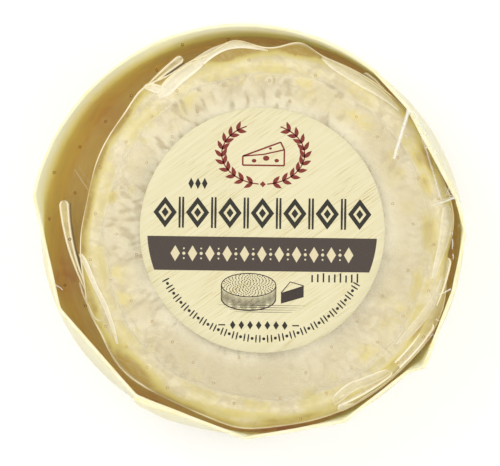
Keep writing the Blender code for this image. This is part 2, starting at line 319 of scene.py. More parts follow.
class Graph:
    """Short ways to add nodes to one tree and join them."""

    def __init__(self, tree: Group, effects: "Effects | None" = None) -> None:
        """Works on the given tree, with the shared effects where it places any."""
        self.tree = tree
        self.effects = effects

    def feed(self, socket: Socket, value: Any) -> None:
        """Joins another node's output to a socket, or else sets the socket's own value.

        Args:
            socket: What takes the value.
            value: An output, or a plain value.
        """
        if isinstance(value, Socket):
            self.tree.links.new(value, socket)
        else:
            socket.default_value = value

    def node(self, kind: str, inputs: Mapping[Any, Any] | None = None, **settings: Any) -> Any:
        """Adds one node.

        Args:
            kind: The node's type name.
            inputs: A value or another node's output for each named or numbered input.
            **settings: The node's own properties.

        Returns:
            The node.
        """
        made = self.tree.nodes.new(kind)
        for name, value in settings.items():
            setattr(made, name, value)
        for name, value in (inputs or {}).items():
            self.feed(made.inputs[name], value)
        return made

    def place(self) -> Socket:
        """The point in the pack's own frame, in metres."""
        return self.node("ShaderNodeTexCoord").outputs["Object"]

    def painted(self, name: str) -> Socket:
        """A value that the mesh carries."""
        return self.node("ShaderNodeAttribute", attribute_name=name).outputs["Fac"]

    def math(self, operation: str, *values: Any) -> Socket:
        """One sum on one, two or three values, held to 0 to 1 by the caller where that matters."""
        return self.node("ShaderNodeMath", dict(enumerate(values)), operation=operation).outputs[0]

    def times(self, first: Any, second: Any) -> Socket:
        """The product of two values."""
        return self.math("MULTIPLY", first, second)

    def held(self, value: Any) -> Socket:
        """A value held between 0 and 1."""
        return self.node("ShaderNodeClamp", {"Value": value}).outputs[0]

    def spread(self, value: Any, low: float, high: float, start: float, end: float) -> Any:
        """Takes a value from one range smoothly to another.

        Args:
            value: What is read.
            low: Where the change begins.
            high: Where it ends.
            start: The result below low.
            end: The result above high.

        Returns:
            The output that holds the result.
        """
        inputs = {"Value": value, "From Min": low, "From Max": high, "To Min": start, "To Max": end}
        made = self.node("ShaderNodeMapRange", inputs, interpolation_type="SMOOTHSTEP")
        return made.outputs["Result"]

    def mix(self, share: Any, first: Any, second: Any, blend: str = "MIX") -> Any:
        """Blends two colours.

        Args:
            share: How much of the second.
            first: The first colour.
            second: The second colour.
            blend: How they are blended.

        Returns:
            The output that holds the colour.
        """
        made = self.node("ShaderNodeMix", data_type="RGBA", blend_type=blend)
        for name, value in (("Factor_Float", share), ("A_Color", first), ("B_Color", second)):
            self.feed(next(s for s in made.inputs if s.identifier == name), value)
        return next(s for s in made.outputs if s.identifier == "Result_Color")

    def ramp(self, value: Any, stops: Sequence[tuple[float, Any]]) -> Socket:
        """A colour for each value.

        Args:
            value: What is read.
            stops: Places from 0 to 1, each with its colour.

        Returns:
            The output that holds the colour.
        """
        made = self.node("ShaderNodeValToRGB", {"Fac": value})
        band = made.color_ramp
        while len(band.elements) < len(stops):
            band.elements.new(0.5)
        for element, (at, colour) in zip(band.elements, stops):
            element.position = at
            element.color = colour
        return made.outputs["Color"]

    def lay(self, setting: "Setting", share: float = 1.0) -> Socket:
        """Places a shared effect with a finish's own values.

        Args:
            setting: The values.
            share: How much of the effect is kept.

        Returns:
            The output that holds it.
        """
        made = self.node("ShaderNodeGroup", node_tree=getattr(self.effects, setting.kind))
        for value in fields(setting):
            self.feed(made.inputs[value.name.title()], getattr(setting, value.name))
        return made.outputs[0] if share == 1.0 else self.times(made.outputs[0], share)

    def emboss(self, height: Any, depth: float, strength: float) -> Socket:
        """A normal from a height that changes over the surface.

        Args:
            height: The height, 0 to 1.
            depth: What 1 stands for, in metres.
            strength: How much of it shows.

        Returns:
            The output that holds the normal.
        """
        inputs = {"Height": height, "Distance": depth, "Strength": strength}
        return self.node("ShaderNodeBump", inputs).outputs["Normal"]


class Effects:
    """The shader effects that several finishes share, each built once as a node group."""

    def __init__(self) -> None:
        """Builds every group."""
        self.fibres = self._fibres()
        self.turned = self._turned()
        self.blotches = self._blotches()
        self.outlines = self._outlines()
        self.flecks = self._flecks()

    @staticmethod
    def _start(name: str, result: str, **inputs: float) -> tuple[Graph, Any, Any]:
        """Starts a group.

        Args:
            name: The group's name.
            result: The name of what it puts out.
            **inputs: Its inputs with their first values.

        Returns:
            The graph, the node that holds the inputs and the node that takes the result.
        """
        tree = bpy.data.node_groups.new(name, "ShaderNodeTree")
        for label, value in inputs.items():
            socket = tree.interface.new_socket(label, in_out="INPUT", socket_type="NodeSocketFloat")
            socket.default_value = value
        tree.interface.new_socket(result, in_out="OUTPUT", socket_type="NodeSocketFloat")
        graph = Graph(tree)
        return graph, graph.node("NodeGroupInput"), graph.node("NodeGroupOutput")

    @staticmethod
    def _finish(graph: Graph, result: Any, value: Any) -> Group:
        """Puts a value out of a group, and gives the group."""
        graph.tree.links.new(value, result.inputs[0])
        return graph.tree

    def _fibres(self) -> Group:
        """Straight streaks, at a turn in plan.

        Returns:
            The group.
        """
        graph, given, result = self._start("Fibres", "Grain", Scale=300.0, Stretch=9.0, Turn=0.0)
        inputs = {"Vector": graph.place(), "Angle": given.outputs["Turn"]}
        turned = graph.node("ShaderNodeVectorRotate", inputs, rotation_type="Z_AXIS")
        stretch = given.outputs["Stretch"]
        across = graph.node("ShaderNodeCombineXYZ", {"X": 1.0, "Y": stretch, "Z": stretch})
        inputs = {0: turned.outputs[0], 1: across.outputs[0]}
        place = graph.node("ShaderNodeVectorMath", inputs, operation="MULTIPLY").outputs[0]
        inputs = {"Vector": place, "Scale": given.outputs["Scale"], "Detail": 4.0, "Roughness": 0.6}
        return self._finish(graph, result, graph.node("ShaderNodeTexNoise", inputs).outputs["Fac"])

    def _turned(self) -> Group:
        """Streaks that run round the pack's upright axis.

        Returns:
            The group.
        """
        graph, given, result = self._start("Turned grain", "Grain", Scale=200.0, Stretch=8.0)
        parts = graph.node("ShaderNodeSeparateXYZ", {"Vector": graph.place()})
        plan = {"X": parts.outputs["X"], "Y": parts.outputs["Y"], "Z": 0.0}
        flat = graph.node("ShaderNodeCombineXYZ", plan).outputs[0]
        reach = graph.node("ShaderNodeVectorMath", {0: flat}, operation="LENGTH").outputs["Value"]
        out = graph.node("ShaderNodeVectorMath", {0: flat}, operation="NORMALIZE").outputs[0]
        inputs = {0: out, "Scale": TrayForm.rim_inner}
        round_it = graph.node("ShaderNodeVectorMath", inputs, operation="SCALE").outputs[0]
        height = graph.math("ADD", parts.outputs["Z"], reach)
        rise = graph.math("MULTIPLY", height, given.outputs["Stretch"])
        lift = graph.node("ShaderNodeCombineXYZ", {"Z": rise}).outputs[0]
        place = graph.node("ShaderNodeVectorMath", {0: round_it, 1: lift}, operation="ADD")
        inputs = {"Vector": place.outputs[0], "Scale": given.outputs["Scale"], "Detail": 4.0}
        return self._finish(graph, result, graph.node("ShaderNodeTexNoise", inputs).outputs["Fac"])

    def _cloud(self, name: str) -> tuple[Graph, Any, Socket]:
        """Starts a group with soft uneven patches in it.

        Args:
            name: The group's name.

        Returns:
            The graph, the node that takes the result and the patches.
        """
        start = {"Scale": 90.0, "Low": 0.45, "High": 0.65, "Detail": 3.0}
        graph, given, result = self._start(name, "Mask", **start)
        inputs = {"Vector": graph.place(), "Scale": given.outputs["Scale"]}
        inputs["Detail"] = given.outputs["Detail"]
        cloud = graph.node("ShaderNodeTexNoise", inputs).outputs["Fac"]
        ends = given.outputs["Low"], given.outputs["High"]
        return graph, result, graph.spread(cloud, *ends, 0.0, 1.0)

    def _blotches(self) -> Group:
        """Soft uneven patches."""
        return self._finish(*self._cloud("Blotches"))

    def _outlines(self) -> Group:
        """The soft outlines of uneven patches."""
        graph, result, cells = self._cloud("Outlines")
        return self._finish(graph, result, graph.times(cells, graph.math("SUBTRACT", 1.0, cells)))

    def _flecks(self) -> Group:
        """Small separate specks.

        Returns:
            The group.
        """
        graph, given, result = self._start("Flecks", "Mask", Scale=900.0, Size=0.2)
        inputs = {"Vector": graph.place(), "Scale": given.outputs["Scale"]}
        nearest = graph.node("ShaderNodeTexVoronoi", inputs).outputs["Distance"]
        inputs = {"Value": nearest, "From Min": given.outputs["Size"], "From Max": 0.0}
        return self._finish(graph, result, graph.node("ShaderNodeMapRange", inputs).outputs["Result"])


@dataclass(frozen=True)
class Setting:
    """One finish's values for the shared effect that its kind names."""

    kind: ClassVar[str] = ""


@dataclass(frozen=True)
class Cloud(Setting):
    """Uneven patches: how fine they are, the levels they fade in between, and their detail."""

    kind: ClassVar[str] = "blotches"
    scale: float
    low: float
    high: float
    detail: float = 3.0


@dataclass(frozen=True)
class Outlines(Cloud):
    """The outlines of uneven patches, with the same values."""

    kind: ClassVar[str] = "outlines"


@dataclass(frozen=True)
class Streaks(Setting):
    """Straight streaks: how fine they are, how long, and their turn in plan in radians."""

    kind: ClassVar[str] = "fibres"
    scale: float
    stretch: float
    turn: float = 0.0


@dataclass(frozen=True)
class RoundStreaks(Setting):
    """Streaks round the pack's axis: how fine they are and how long."""

    kind: ClassVar[str] = "turned"
    scale: float
    stretch: float


@dataclass(frozen=True)
class Specks(Setting):
    """Small separate specks: how close they are, and how large."""

    kind: ClassVar[str] = "flecks"
    scale: float
    size: float


@dataclass(frozen=True)
class Finish:
    """A finish, named for its surface. Each kind says what feeds the shader's sockets."""

    name: str

    def sockets(self, graph: Graph) -> dict[str, Any]:
        """A value, or a node's output, for each socket of the shader."""
        raise NotImplementedError

    def material(self, effects: Effects) -> Material:
        """Builds the finish.

        Args:
            effects: The shared effects.

        Returns:
            Its material.
        """
        made = bpy.data.materials.new(self.name)
        made.use_nodes = True
        graph = Graph(made.node_tree, effects)
        shader = made.node_tree.nodes["Principled BSDF"]
        for socket, value in self.sockets(graph).items():
            graph.feed(shader.inputs[socket.replace("_", " ")], value)
        return made


@dataclass(frozen=True)
class Board(Finish):
    """Thin board, which glows with the light that falls on its other side."""

    glow: float = 0.7
    glow_colour: Triple = (1.0, 0.86, 0.52)
    glow_reach: float = 0.0042

    def lit_through(self) -> dict[str, Any]:
        """The values that let the light through."""
        radius, scale = self.glow_colour, self.glow_reach
        return dict(Subsurface_Weight=self.glow, Subsurface_Radius=radius, Subsurface_Scale=scale)


@dataclass(frozen=True)
class BoardInside(Board):
    """The tray's inner face with grease stains, and painted shade that takes it from pale at the lip to
    deep tan at the floor.
    """

    name: str = "tray_board_inside"
    # Painted shade: these four colours darken the wall and floor by height, from the lip down to the
    # floor.
    lip: Paint = tone(255, 249, 216)
    upper: Paint = tone(254, 236, 190)
    middle: Paint = tone(244, 224, 146)
    floor: Paint = tone(206, 178, 92)
    grease: Paint = tone(194, 150, 52)
    lip_height: float = 0.0300
    floor_height: float = 0.0030
    levels: tuple[float, ...] = (0.0, 0.35, 0.72, 0.97)
    grain: RoundStreaks = RoundStreaks(260.0, 7.0)
    grain_fade: Fade = (0.30, 0.70, 0.0, 0.16)
    grain_relief: Pair = (0.00012, 0.5)
    soak: Cloud = Cloud(240.0, 0.42, 0.62)
    soak_least: float = 0.45
    flecks: Specks = Specks(700.0, 0.16)
    fleck_share: float = 0.25
    glow: float = 0.85
    roughness: float = 0.42

    def sockets(self, graph: Graph) -> dict[str, Any]:
        """What feeds the shader's sockets.

        Args:
            graph: The material's graph.

        Returns:
            What feeds each one.
        """
        # Painted shade: the colour darkens with depth, from the lip colour down to the floor colour.
        parts = graph.node("ShaderNodeSeparateXYZ", {"Vector": graph.place()})
        level = graph.spread(parts.outputs["Z"], self.floor_height, self.lip_height, 0.0, 1.0)
        paints = (self.floor, self.middle, self.upper, self.lip)
        depth = graph.ramp(level, tuple(zip(self.levels, paints)))
        grain = graph.lay(self.grain)
        streaked = graph.mix(graph.spread(grain, *self.grain_fade), depth, self.middle)
        soak = graph.math("ADD", graph.lay(self.soak), self.soak_least)
        stain = graph.held(graph.times(graph.painted("grease"), soak))
        soaked = graph.mix(stain, streaked, self.grease)
        flecks = graph.lay(self.flecks, self.fleck_share)
        colour = graph.mix(flecks, soaked, self.upper)
        normal = graph.emboss(grain, *self.grain_relief)
        given = dict(Base_Color=colour, Roughness=self.roughness, Normal=normal)
        return {**given, **self.lit_through()}


@dataclass(frozen=True)
class BoardOutside(Board):
    """The tray's outer face: cream board with faint yellow streaks along the wall."""

    name: str = "tray_board_outside"
    cream: Paint = tone(252, 239, 196)
    straw: Paint = tone(243, 220, 154)
    edge: Paint = tone(254, 246, 218)
    broad: RoundStreaks = RoundStreaks(210.0, 11.0)
    broad_fade: Fade = (0.44, 0.66, 0.0, 0.75)
    fine: RoundStreaks = RoundStreaks(900.0, 5.0)
    fine_fade: Fade = (0.5, 0.8, 0.0, 0.5)
    fine_relief: Pair = (0.00010, 0.5)
    flecks: Specks = Specks(650.0, 0.14)
    fleck_share: float = 0.3
    roughness: float = 0.55

    def sockets(self, graph: Graph) -> dict[str, Any]:
        """What feeds the shader's sockets.

        Args:
            graph: The material's graph.

        Returns:
            What feeds each one.
        """
        streak = graph.spread(graph.lay(self.broad), *self.broad_fade)
        colour = graph.mix(streak, self.cream, self.straw)
        fine = graph.lay(self.fine)
        colour = graph.mix(graph.spread(fine, *self.fine_fade), colour, self.edge)
        flecks = graph.lay(self.flecks, self.fleck_share)
        colour = graph.mix(flecks, colour, self.straw)
        normal = graph.emboss(fine, *self.fine_relief)
        given = dict(Base_Color=colour, Roughness=self.roughness, Normal=normal)
        return {**given, **self.lit_through()}


@dataclass(frozen=True)
class Rind(Finish):
    """White bloom over a cream wheel with grey marbling, yellow where it has ripened; painted shade greys
    its creases and hollows.
    """

    name: str = "cheese_rind"
    bloom: Paint = tone(231, 221, 189)
    paste: Paint = tone(222, 208, 163)
    # The grey of the marbling and specks, and also of the painted shade in the creases and hollows.
    vein: Paint = tone(184, 165, 120)
    ripe: Paint = tone(224, 206, 116)
    # Painted light: a paler bloom beside the label and over the shoulder, where their shade would fall.
    fresh: Paint = tone(250, 243, 216)
    # Painted shade on the sides that face away from the light.
    dull: Paint = tone(204, 190, 150)
    blooming: Cloud = Cloud(130.0, 0.36, 0.66)
    mottle: Cloud = Cloud(620.0, 0.40, 0.66, 5.0)
    mottle_share: float = 0.30
    ripening: Cloud = Cloud(150.0, 0.50, 0.66, 6.0)
    cells: Outlines = Outlines(190.0, 0.42, 0.58, 4.0)
    cell_strength: Cloud = Cloud(60.0, 0.38, 0.60)
    cell_least: float = 0.6
    cell_gain: float = 1.2
    flecks: Specks = Specks(420.0, 0.13)
    fleck_share: float = 0.4
    down: Cloud = Cloud(1900.0, 0.3, 0.7)
    down_relief: Pair = (0.00012, 0.6)
    roughness: float = 0.78

    def sockets(self, graph: Graph) -> dict[str, Any]:
        """What feeds the shader's sockets.

        Args:
            graph: The material's graph.

        Returns:
            What feeds each one.
        """
        colour = graph.mix(graph.lay(self.blooming), self.paste, self.bloom)
        mottle = graph.lay(self.mottle, self.mottle_share)
        colour = graph.mix(mottle, colour, self.paste)
        ripe = graph.times(graph.lay(self.ripening), graph.painted("ripe"))
        colour = graph.mix(ripe, colour, self.ripe)
        strength = graph.lay(self.cell_strength)
        strength = graph.math("MULTIPLY_ADD", strength, self.cell_gain, self.cell_least)
        marbled = graph.times(graph.lay(self.cells), strength)
        colour = graph.mix(marbled, colour, self.vein)
        for name, paint in (("dull", self.dull), ("fresh", self.fresh), ("vein", self.vein)):
            colour = graph.mix(graph.painted(name), colour, paint)
        flecks = graph.lay(self.flecks, self.fleck_share)
        colour = graph.mix(flecks, colour, self.vein)
        normal = graph.emboss(graph.lay(self.down), *self.down_relief)
        return dict(Base_Color=colour, Roughness=self.roughness, Normal=normal)


@dataclass(frozen=True)
class WrapSheet(Finish):
    """Thin waxed sheet: nearly clear where it lies on the cheese, milky where it hangs or doubles.

    Its edges and folds carry a painted highlight, painted shade yellows it where it hangs over the gaps,
    and it lets most of the light through to what lies under it.
    """

    name: str = "wrap_sheet"
    sheet: Paint = tone(243, 236, 206)
    veil: Paint = tone(232, 220, 180)
    shade: Paint = tone(200, 183, 140)
    # The soaked yellows, which also paint the shade where the sheet hangs over the gaps.
    butter: Paint = tone(222, 206, 116)
    oiled: Paint = tone(186, 154, 58)
    # The colour of the painted highlight on edges and folds, and of the doubled pleats.
    edge: Paint = tone(252, 244, 216)
    shading: float = 0.12
    lying: float = 0.22
    hanging: float = 0.90
    soaked: float = 0.80
    milky: float = 0.50
    # How opaque the painted highlight makes the sheet's edges and folds.
    crest: float = 0.95
    tucked: float = 0.5
    roughness: float = 0.38
    tear: Cloud = Cloud(200.0, 0.30, 0.70, 4.0)
    tear_gain: float = 1.3
    tear_depth: float = -0.3
    soak: Cloud = Cloud(120.0, 0.38, 0.62)
    soak_faint: float = 0.28
    soak_gain: float = 0.5
    soak_least: float = 0.7
    milk_fade: Fade = (0.0, 1.0, 1.0, 0.35)
    mottle: Cloud = Cloud(420.0, 0.42, 0.66, 5.0)
    mottle_share: float = 0.5
    buttered: Cloud = Cloud(150.0, 0.50, 0.66, 6.0)
    butter_share: float = 0.40
    cells: Outlines = Outlines(190.0, 0.42, 0.58, 4.0)
    cell_share: float = 2.2
    butter_fade: Fade = (0.0, 0.5, 0.0, 1.0)
    oil_fade: Fade = (0.4, 1.0, 0.0, 1.0)
    fibres: Streaks = Streaks(500.0, 3.0, 0.6)
    fibre_fade: Fade = (0.42, 0.72, 0.0, 0.45)
    fibre_middle: float = 0.5
    fibre_body: float = 0.12
    fibre_relief: Pair = (0.00005, 0.5)
    milk_bright: float = 0.3

    def _veiled(self, graph: Graph) -> Socket:
        """The colour of the hanging sheet, with the rind's pattern showing through it.

        Args:
            graph: The material's graph.

        Returns:
            The output that holds it.
        """
        mottle = graph.lay(self.mottle, self.mottle_share)
        veil = graph.mix(mottle, self.veil, self.shade)
        butter = graph.lay(self.buttered, self.butter_share)
        veil = graph.mix(butter, veil, self.butter)
        cells = graph.lay(self.cells, self.cell_share)
        return graph.mix(cells, veil, self.shade)

    def _oiled(self, graph: Graph, hang: Any, milk: Any) -> Socket:
        """How far the sheet is painted darker yellow, partly butterfat soaking it and partly painted shade
        where it hangs.

        Args:
            graph: The material's graph.
            hang: How far it hangs.
            milk: How milky it is.

        Returns:
            The output that holds it, 0 to 1.
        """
        soak = graph.lay(self.soak)
        faint = graph.times(soak, graph.times(hang, self.soak_faint))
        uneven = graph.math("MULTIPLY_ADD", soak, self.soak_gain, self.soak_least)
        oiled = graph.times(graph.painted("oil"), uneven)
        oiled = graph.math("MAXIMUM", oiled, faint)
        return graph.held(graph.times(oiled, graph.spread(milk, *self.milk_fade)))

    def sockets(self, graph: Graph) -> dict[str, Any]:
        """What feeds the shader's sockets.

        Args:
            graph: The material's graph.

        Returns:
            What feeds each one.
        """
        torn = graph.lay(self.tear, self.tear_depth)
        hang = graph.held(graph.math("MULTIPLY_ADD", graph.painted("hang"), self.tear_gain, torn))
        crest = graph.painted("crest")
        milk = graph.painted("milk")
        oiled = self._oiled(graph, hang, milk)
        fibres = graph.lay(self.fibres)
        colour = graph.mix(hang, self.sheet, self._veiled(graph))
        # Soaking and painted shade: darker yellow where the sheet is painted soaked and shaded.
        colour = graph.mix(graph.spread(oiled, *self.butter_fade), colour, self.butter)
        colour = graph.mix(graph.spread(oiled, *self.oil_fade), colour, self.oiled)
        colour = graph.mix(graph.spread(fibres, *self.fibre_fade), colour, self.shade)
        # Painted highlight: edges and fold crests are brightened towards the edge colour, and the doubled
        # pleats a little.
        bright = graph.math("MAXIMUM", crest, graph.times(milk, self.milk_bright))
        colour = graph.mix(bright, colour, self.edge)
        body = graph.spread(hang, 0.0, 1.0, self.lying, self.hanging)
        body = graph.math("MULTIPLY_ADD", oiled, graph.math("SUBTRACT", self.soaked, body), body)
        uneven = graph.math("SUBTRACT", fibres, self.fibre_middle)
        tuck = graph.painted("tuck")
        shares = ((milk, self.milky), (uneven, self.fibre_body), (tuck, self.tucked), (crest, self.crest))
        for value, share in shares:
            body = graph.math("MULTIPLY_ADD", value, share, body)
        casts = graph.node("ShaderNodeLightPath").outputs["Is Shadow Ray"]
        alpha = graph.times(graph.held(body), graph.spread(casts, 0.0, 1.0, 1.0, self.shading))
        normal = graph.emboss(fibres, *self.fibre_relief)
        return dict(Base_Color=colour, Roughness=self.roughness, Normal=normal, Alpha=alpha)


@dataclass(frozen=True)
class ClearFilm(Finish):
    """Clear shrink film: a gloss over what it covers, milky where it is creased, the milky white also
    painting the glints on the creases.
    """

    name: str = "film_clear"
    clear: Paint = (1.0, 1.0, 1.0, 1.0)
    # The milky white of the creases, which also paints their glints.
    crease: Paint = tone(250, 249, 240)
    shine: float = 0.04
    glance: float = 0.12
    falloff: float = 5.0
    facing_blend: float = 0.5
    ripple: Cloud = Cloud(160.0, 0.2, 0.8)
    ripple_relief: Pair = (0.0002, 0.35)
    haze: Cloud = Cloud(700.0, 0.4, 0.7)
    haze_fade: Fade = (0.0, 1.0, 1.0, 0.75)
    milk_fade: Fade = (0.0, 0.2, 1.0, 0.0)
    roughness: float = 0.09

    def sockets(self, graph: Graph) -> dict[str, Any]:
        """What feeds the shader's sockets.

        Args:
            graph: The material's graph.

        Returns:
            What feeds each one.
        """
        normal = graph.emboss(graph.lay(self.ripple), *self.ripple_relief)
        facing = graph.node("ShaderNodeLayerWeight", {"Blend": self.facing_blend}).outputs["Facing"]
        gloss = graph.math("POWER", facing, self.falloff)
        gloss = graph.math("MULTIPLY_ADD", gloss, self.glance, self.shine)
        haze = graph.spread(graph.lay(self.haze), *self.haze_fade)
        milky = graph.times(graph.painted("milk"), haze)
        alpha = graph.math("MAXIMUM", gloss, milky)
        metallic = graph.spread(milky, *self.milk_fade)
        colour = graph.mix(metallic, self.crease, self.clear)
        given = dict(Base_Color=colour, Metallic=metallic, Roughness=self.roughness)
        return {**given, "Normal": normal, "Alpha": alpha}


@dataclass(frozen=True)
class LabelPaper(Finish):
    """Smooth cream paper, printed all over with fine slanting streaks."""

    name: str = "label_paper"
    cream: Paint = tone(222, 212, 170)
    streak: Paint = tone(188, 170, 106)
    pale: Paint = tone(227, 218, 180)
    slant: ClassVar[float] = math.radians(-35.0)
    broad: Streaks = Streaks(40.0, 30.0, slant)
    broad_fade: Fade = (0.35, 0.7, 0.0, 1.0)
    fine: Streaks = Streaks(110.0, 58.0, slant)
    fine_fade: Fade = (0.55, 0.66, 0.0, 1.0)
    patch: Cloud = Cloud(70.0, 0.35, 0.6)
    patch_gain: float = 0.7
    patch_least: float = 0.3
    tooth: Streaks = Streaks(1500.0, 1.5, 0.3)
    tooth_relief: Pair = (0.00003, 0.4)
    roughness: float = 0.45

    def sockets(self, graph: Graph) -> dict[str, Any]:
        """What feeds the shader's sockets.

        Args:
            graph: The material's graph.

        Returns:
            What feeds each one.
        """
        broad = graph.spread(graph.lay(self.broad), *self.broad_fade)
        colour = graph.mix(broad, self.cream, self.pale)
        patch = graph.lay(self.patch)
        patch = graph.math("MULTIPLY_ADD", patch, self.patch_gain, self.patch_least)
        fine = graph.spread(graph.lay(self.fine), *self.fine_fade)
        colour = graph.mix(graph.times(fine, patch), colour, self.streak)
        normal = graph.emboss(graph.lay(self.tooth), *self.tooth_relief)
        return dict(Base_Color=colour, Roughness=self.roughness, Normal=normal)


@dataclass(frozen=True)
class Ink(Finish):
    """Printed ink with the slight mottle of paper under it."""

    colour: Paint
    worn: Paint
    roughness: float = 0.5
    cover: float = 1.0
    mottle: Cloud = Cloud(2600.0, 0.35, 0.75)
    mottle_share: float = 0.5
    flecks: Specks = Specks(2400.0, 0.1)
    fleck_share: float = 0.35

    def sockets(self, graph: Graph) -> dict[str, Any]:
        """What feeds the shader's sockets.

        Args:
            graph: The material's graph.

        Returns:
            What feeds each one.
        """
        mottle = graph.lay(self.mottle, self.mottle_share)
        colour = graph.mix(mottle, self.colour, self.worn)
        flecks = graph.lay(self.flecks, self.fleck_share)
        colour = graph.mix(flecks, colour, self.worn)
        return dict(Base_Color=colour, Roughness=self.roughness, Alpha=self.cover)


INK_TITLE = Ink("ink_olive_black", tone(30, 26, 10), tone(46, 40, 24))
INK_BAND = Ink("ink_brown_grey", tone(66, 54, 46), tone(76, 63, 54))
INK_EMBLEM = Ink("ink_brick", tone(118, 30, 16), tone(140, 54, 34))
INK_ENGRAVED = Ink("ink_umber", tone(48, 36, 28), tone(70, 56, 44))
INK_REVERSED = Ink("ink_reversed_cream", tone(220, 208, 170), tone(208, 194, 150))
# Painted shade round the pin holes: dark over the shaded tray, faint over the cheese.
PIN_SHADE_DARK = Ink("film_pin_shadow", tone(124, 80, 20), tone(150, 104, 40), 0.9, 0.6)
PIN_SHADE_FAINT = Ink("film_pin_faint_shade", tone(176, 136, 70), tone(196, 160, 96), 0.9, 0.26)


def hand_over(piece: Piece, slot: Slot, *nodes: str) -> Piece:
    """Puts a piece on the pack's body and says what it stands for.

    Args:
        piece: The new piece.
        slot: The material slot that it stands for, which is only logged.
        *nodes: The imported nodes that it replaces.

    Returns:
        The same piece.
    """
    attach(piece, BODY)
    if nodes:
        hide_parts(*nodes)
    faces = len(piece.data.polygons)
    LOG.info("%s: %d faces, slot %s, stands for %s", piece.name, faces, slot.value, nodes or "-")
    return piece


@dataclass(frozen=True)
class TrayForm:
    """The board cup's walls: a stiff round foot, an oval belly and a rim pulled into chords."""

    board: float = 0.0009
    height: float = 0.0300
    lip_round: float = 0.00025
    foot_centre: Point = (0.0019, -0.0011, 0.0)
    foot_radius: float = 0.0538
    foot_round: float = 0.0013
    belly_height: float = 0.0135
    belly_centre: Point = (0.0007, -0.0006, 0.0)
    belly_mean: float = 0.0553
    belly_swing: float = 0.0014
    belly_turn: float = -10.0
    rim_centre: Point = (-0.0020, -0.0016, 0.0)
    rim_inner: float = 0.0560
    rim_corners: tuple[Pair, ...] = (
        (168.3, 0.0560), (201.1, 0.0516), (236.0, 0.0501), (270.7, 0.0528), (298.9, 0.0552),
        (321.0, 0.0561), (324.4, 0.0588), (346.0, 0.0573), (362.0, 0.0588), (370.4, 0.0573),
        (398.5, 0.0554), (411.8, 0.0560),
    )
    corner_soft: float = 0.7
    corner_samples: int = 7
    room_step: float = 0.5
    lap_angle: float = 236.0
    lap_fade: float = 24.0
    lap_edge: float = 0.4
    film_lead: float = 1.4

    def _sharp_radius(self, degrees: Array) -> Array:
        """The rim's inner edge with crisp corners.

        Args:
            degrees: The angles.

        Returns:
            A distance for each angle.
        """
        first_corner = self.rim_corners[0][0]
        turned = np.where(degrees >= first_corner, degrees, degrees + 360.0)
        radius = np.full(degrees.shape, self.rim_inner)
        for (angle_a, radius_a), (angle_b, radius_b) in zip(self.rim_corners, self.rim_corners[1:]):
            on_chord = (turned >= angle_a) & (turned <= angle_b)
            whole = math.sin(math.radians(angle_b - angle_a))
            near = np.sin(np.radians(turned - angle_a))
            far = np.sin(np.radians(angle_b - turned))
            chord = radius_a * radius_b * whole / (radius_b * far + radius_a * near)
            radius = np.where(on_chord, chord, radius)
        return radius

    def rim_radius(self, degrees: Array) -> Array:
        """The rim's inner edge, its corners as soft as bent board."""
        shifts = np.linspace(-self.corner_soft, self.corner_soft, self.corner_samples)
        return np.mean([self._sharp_radius((degrees + s) % 360.0) for s in shifts], axis=0)

    def lap_rise(self, degrees: Array, lead: float) -> Array:
        """How far the lapped end of the board stands off the wall beneath it.

        Args:
            degrees: The angles.
            lead: How far before the step the rise begins.

        Returns:
            A distance for each angle.
        """
        past = angle_between(degrees, self.lap_angle)
        before = ease(1.0 + past / lead)
        beyond = 1.0 - ease(past / self.lap_fade)
        return self.board * np.where(past < 0.0, before, beyond)

    def wall(self, degrees: Array, height: float, outset: float, lead: float) -> Array:
        """One level ring of the wall.

        Args:
            degrees: The angles round it.
            height: Its height.
            outset: How far it lies outside the outer face.
            lead: How far before the lap's step its rise begins.

        Returns:
            A point for each angle.
        """
        out = around(degrees)
        swing = self.belly_swing * np.cos(2.0 * np.radians(degrees - self.belly_turn))
        foot = np.array(self.foot_centre) + out * self.foot_radius
        belly = np.array(self.belly_centre) + out * (self.belly_mean + swing)[:, None]
        rim = np.array(self.rim_centre) + out * (self.rim_radius(degrees) + self.board)[:, None]
        if height < self.belly_height:
            share = math.sin(0.5 * math.pi * max(height, 0.0) / self.belly_height)
            ring = foot + (belly - foot) * share
        else:
            share = (height - self.belly_height) / (self.height - self.belly_height)
            ring = belly + (rim - belly) * min(share, 1.0)
        lapped = float(ease(1.0 + 2.0 * outset / self.board))
        ring = ring + out * (outset + lapped * self.lap_rise(degrees, lead))[:, None]
        ring[:, 2] = height
        return ring

    def room(self, degrees: Array, height: float, start: Point) -> Array:
        """How far the inner wall is from an upright axis, in each direction.

        Args:
            degrees: The directions.
            height: The height at which it is measured.
            start: Where the axis stands.

        Returns:
            A distance for each direction.
        """
        finely = np.arange(0.0, 360.0, self.room_step)
        reach = self.wall(finely, height, -self.board, self.lap_edge) - np.array(start)
        angle = np.degrees(np.arctan2(reach[:, 1], reach[:, 0])) % 360.0
        order = np.argsort(angle)
        length = np.hypot(reach[:, 0], reach[:, 1])
        return np.interp(degrees % 360.0, angle[order], length[order], period=360.0)


@dataclass(frozen=True)
class Stain:
    """A soaked patch of the board: where it is and how far it reaches."""

    x: float
    y: float
    reach: float
    depth: float


@dataclass
class Part:
    """A part of the pack or of the studio, with the effects that its finishes share."""

    effects: Effects


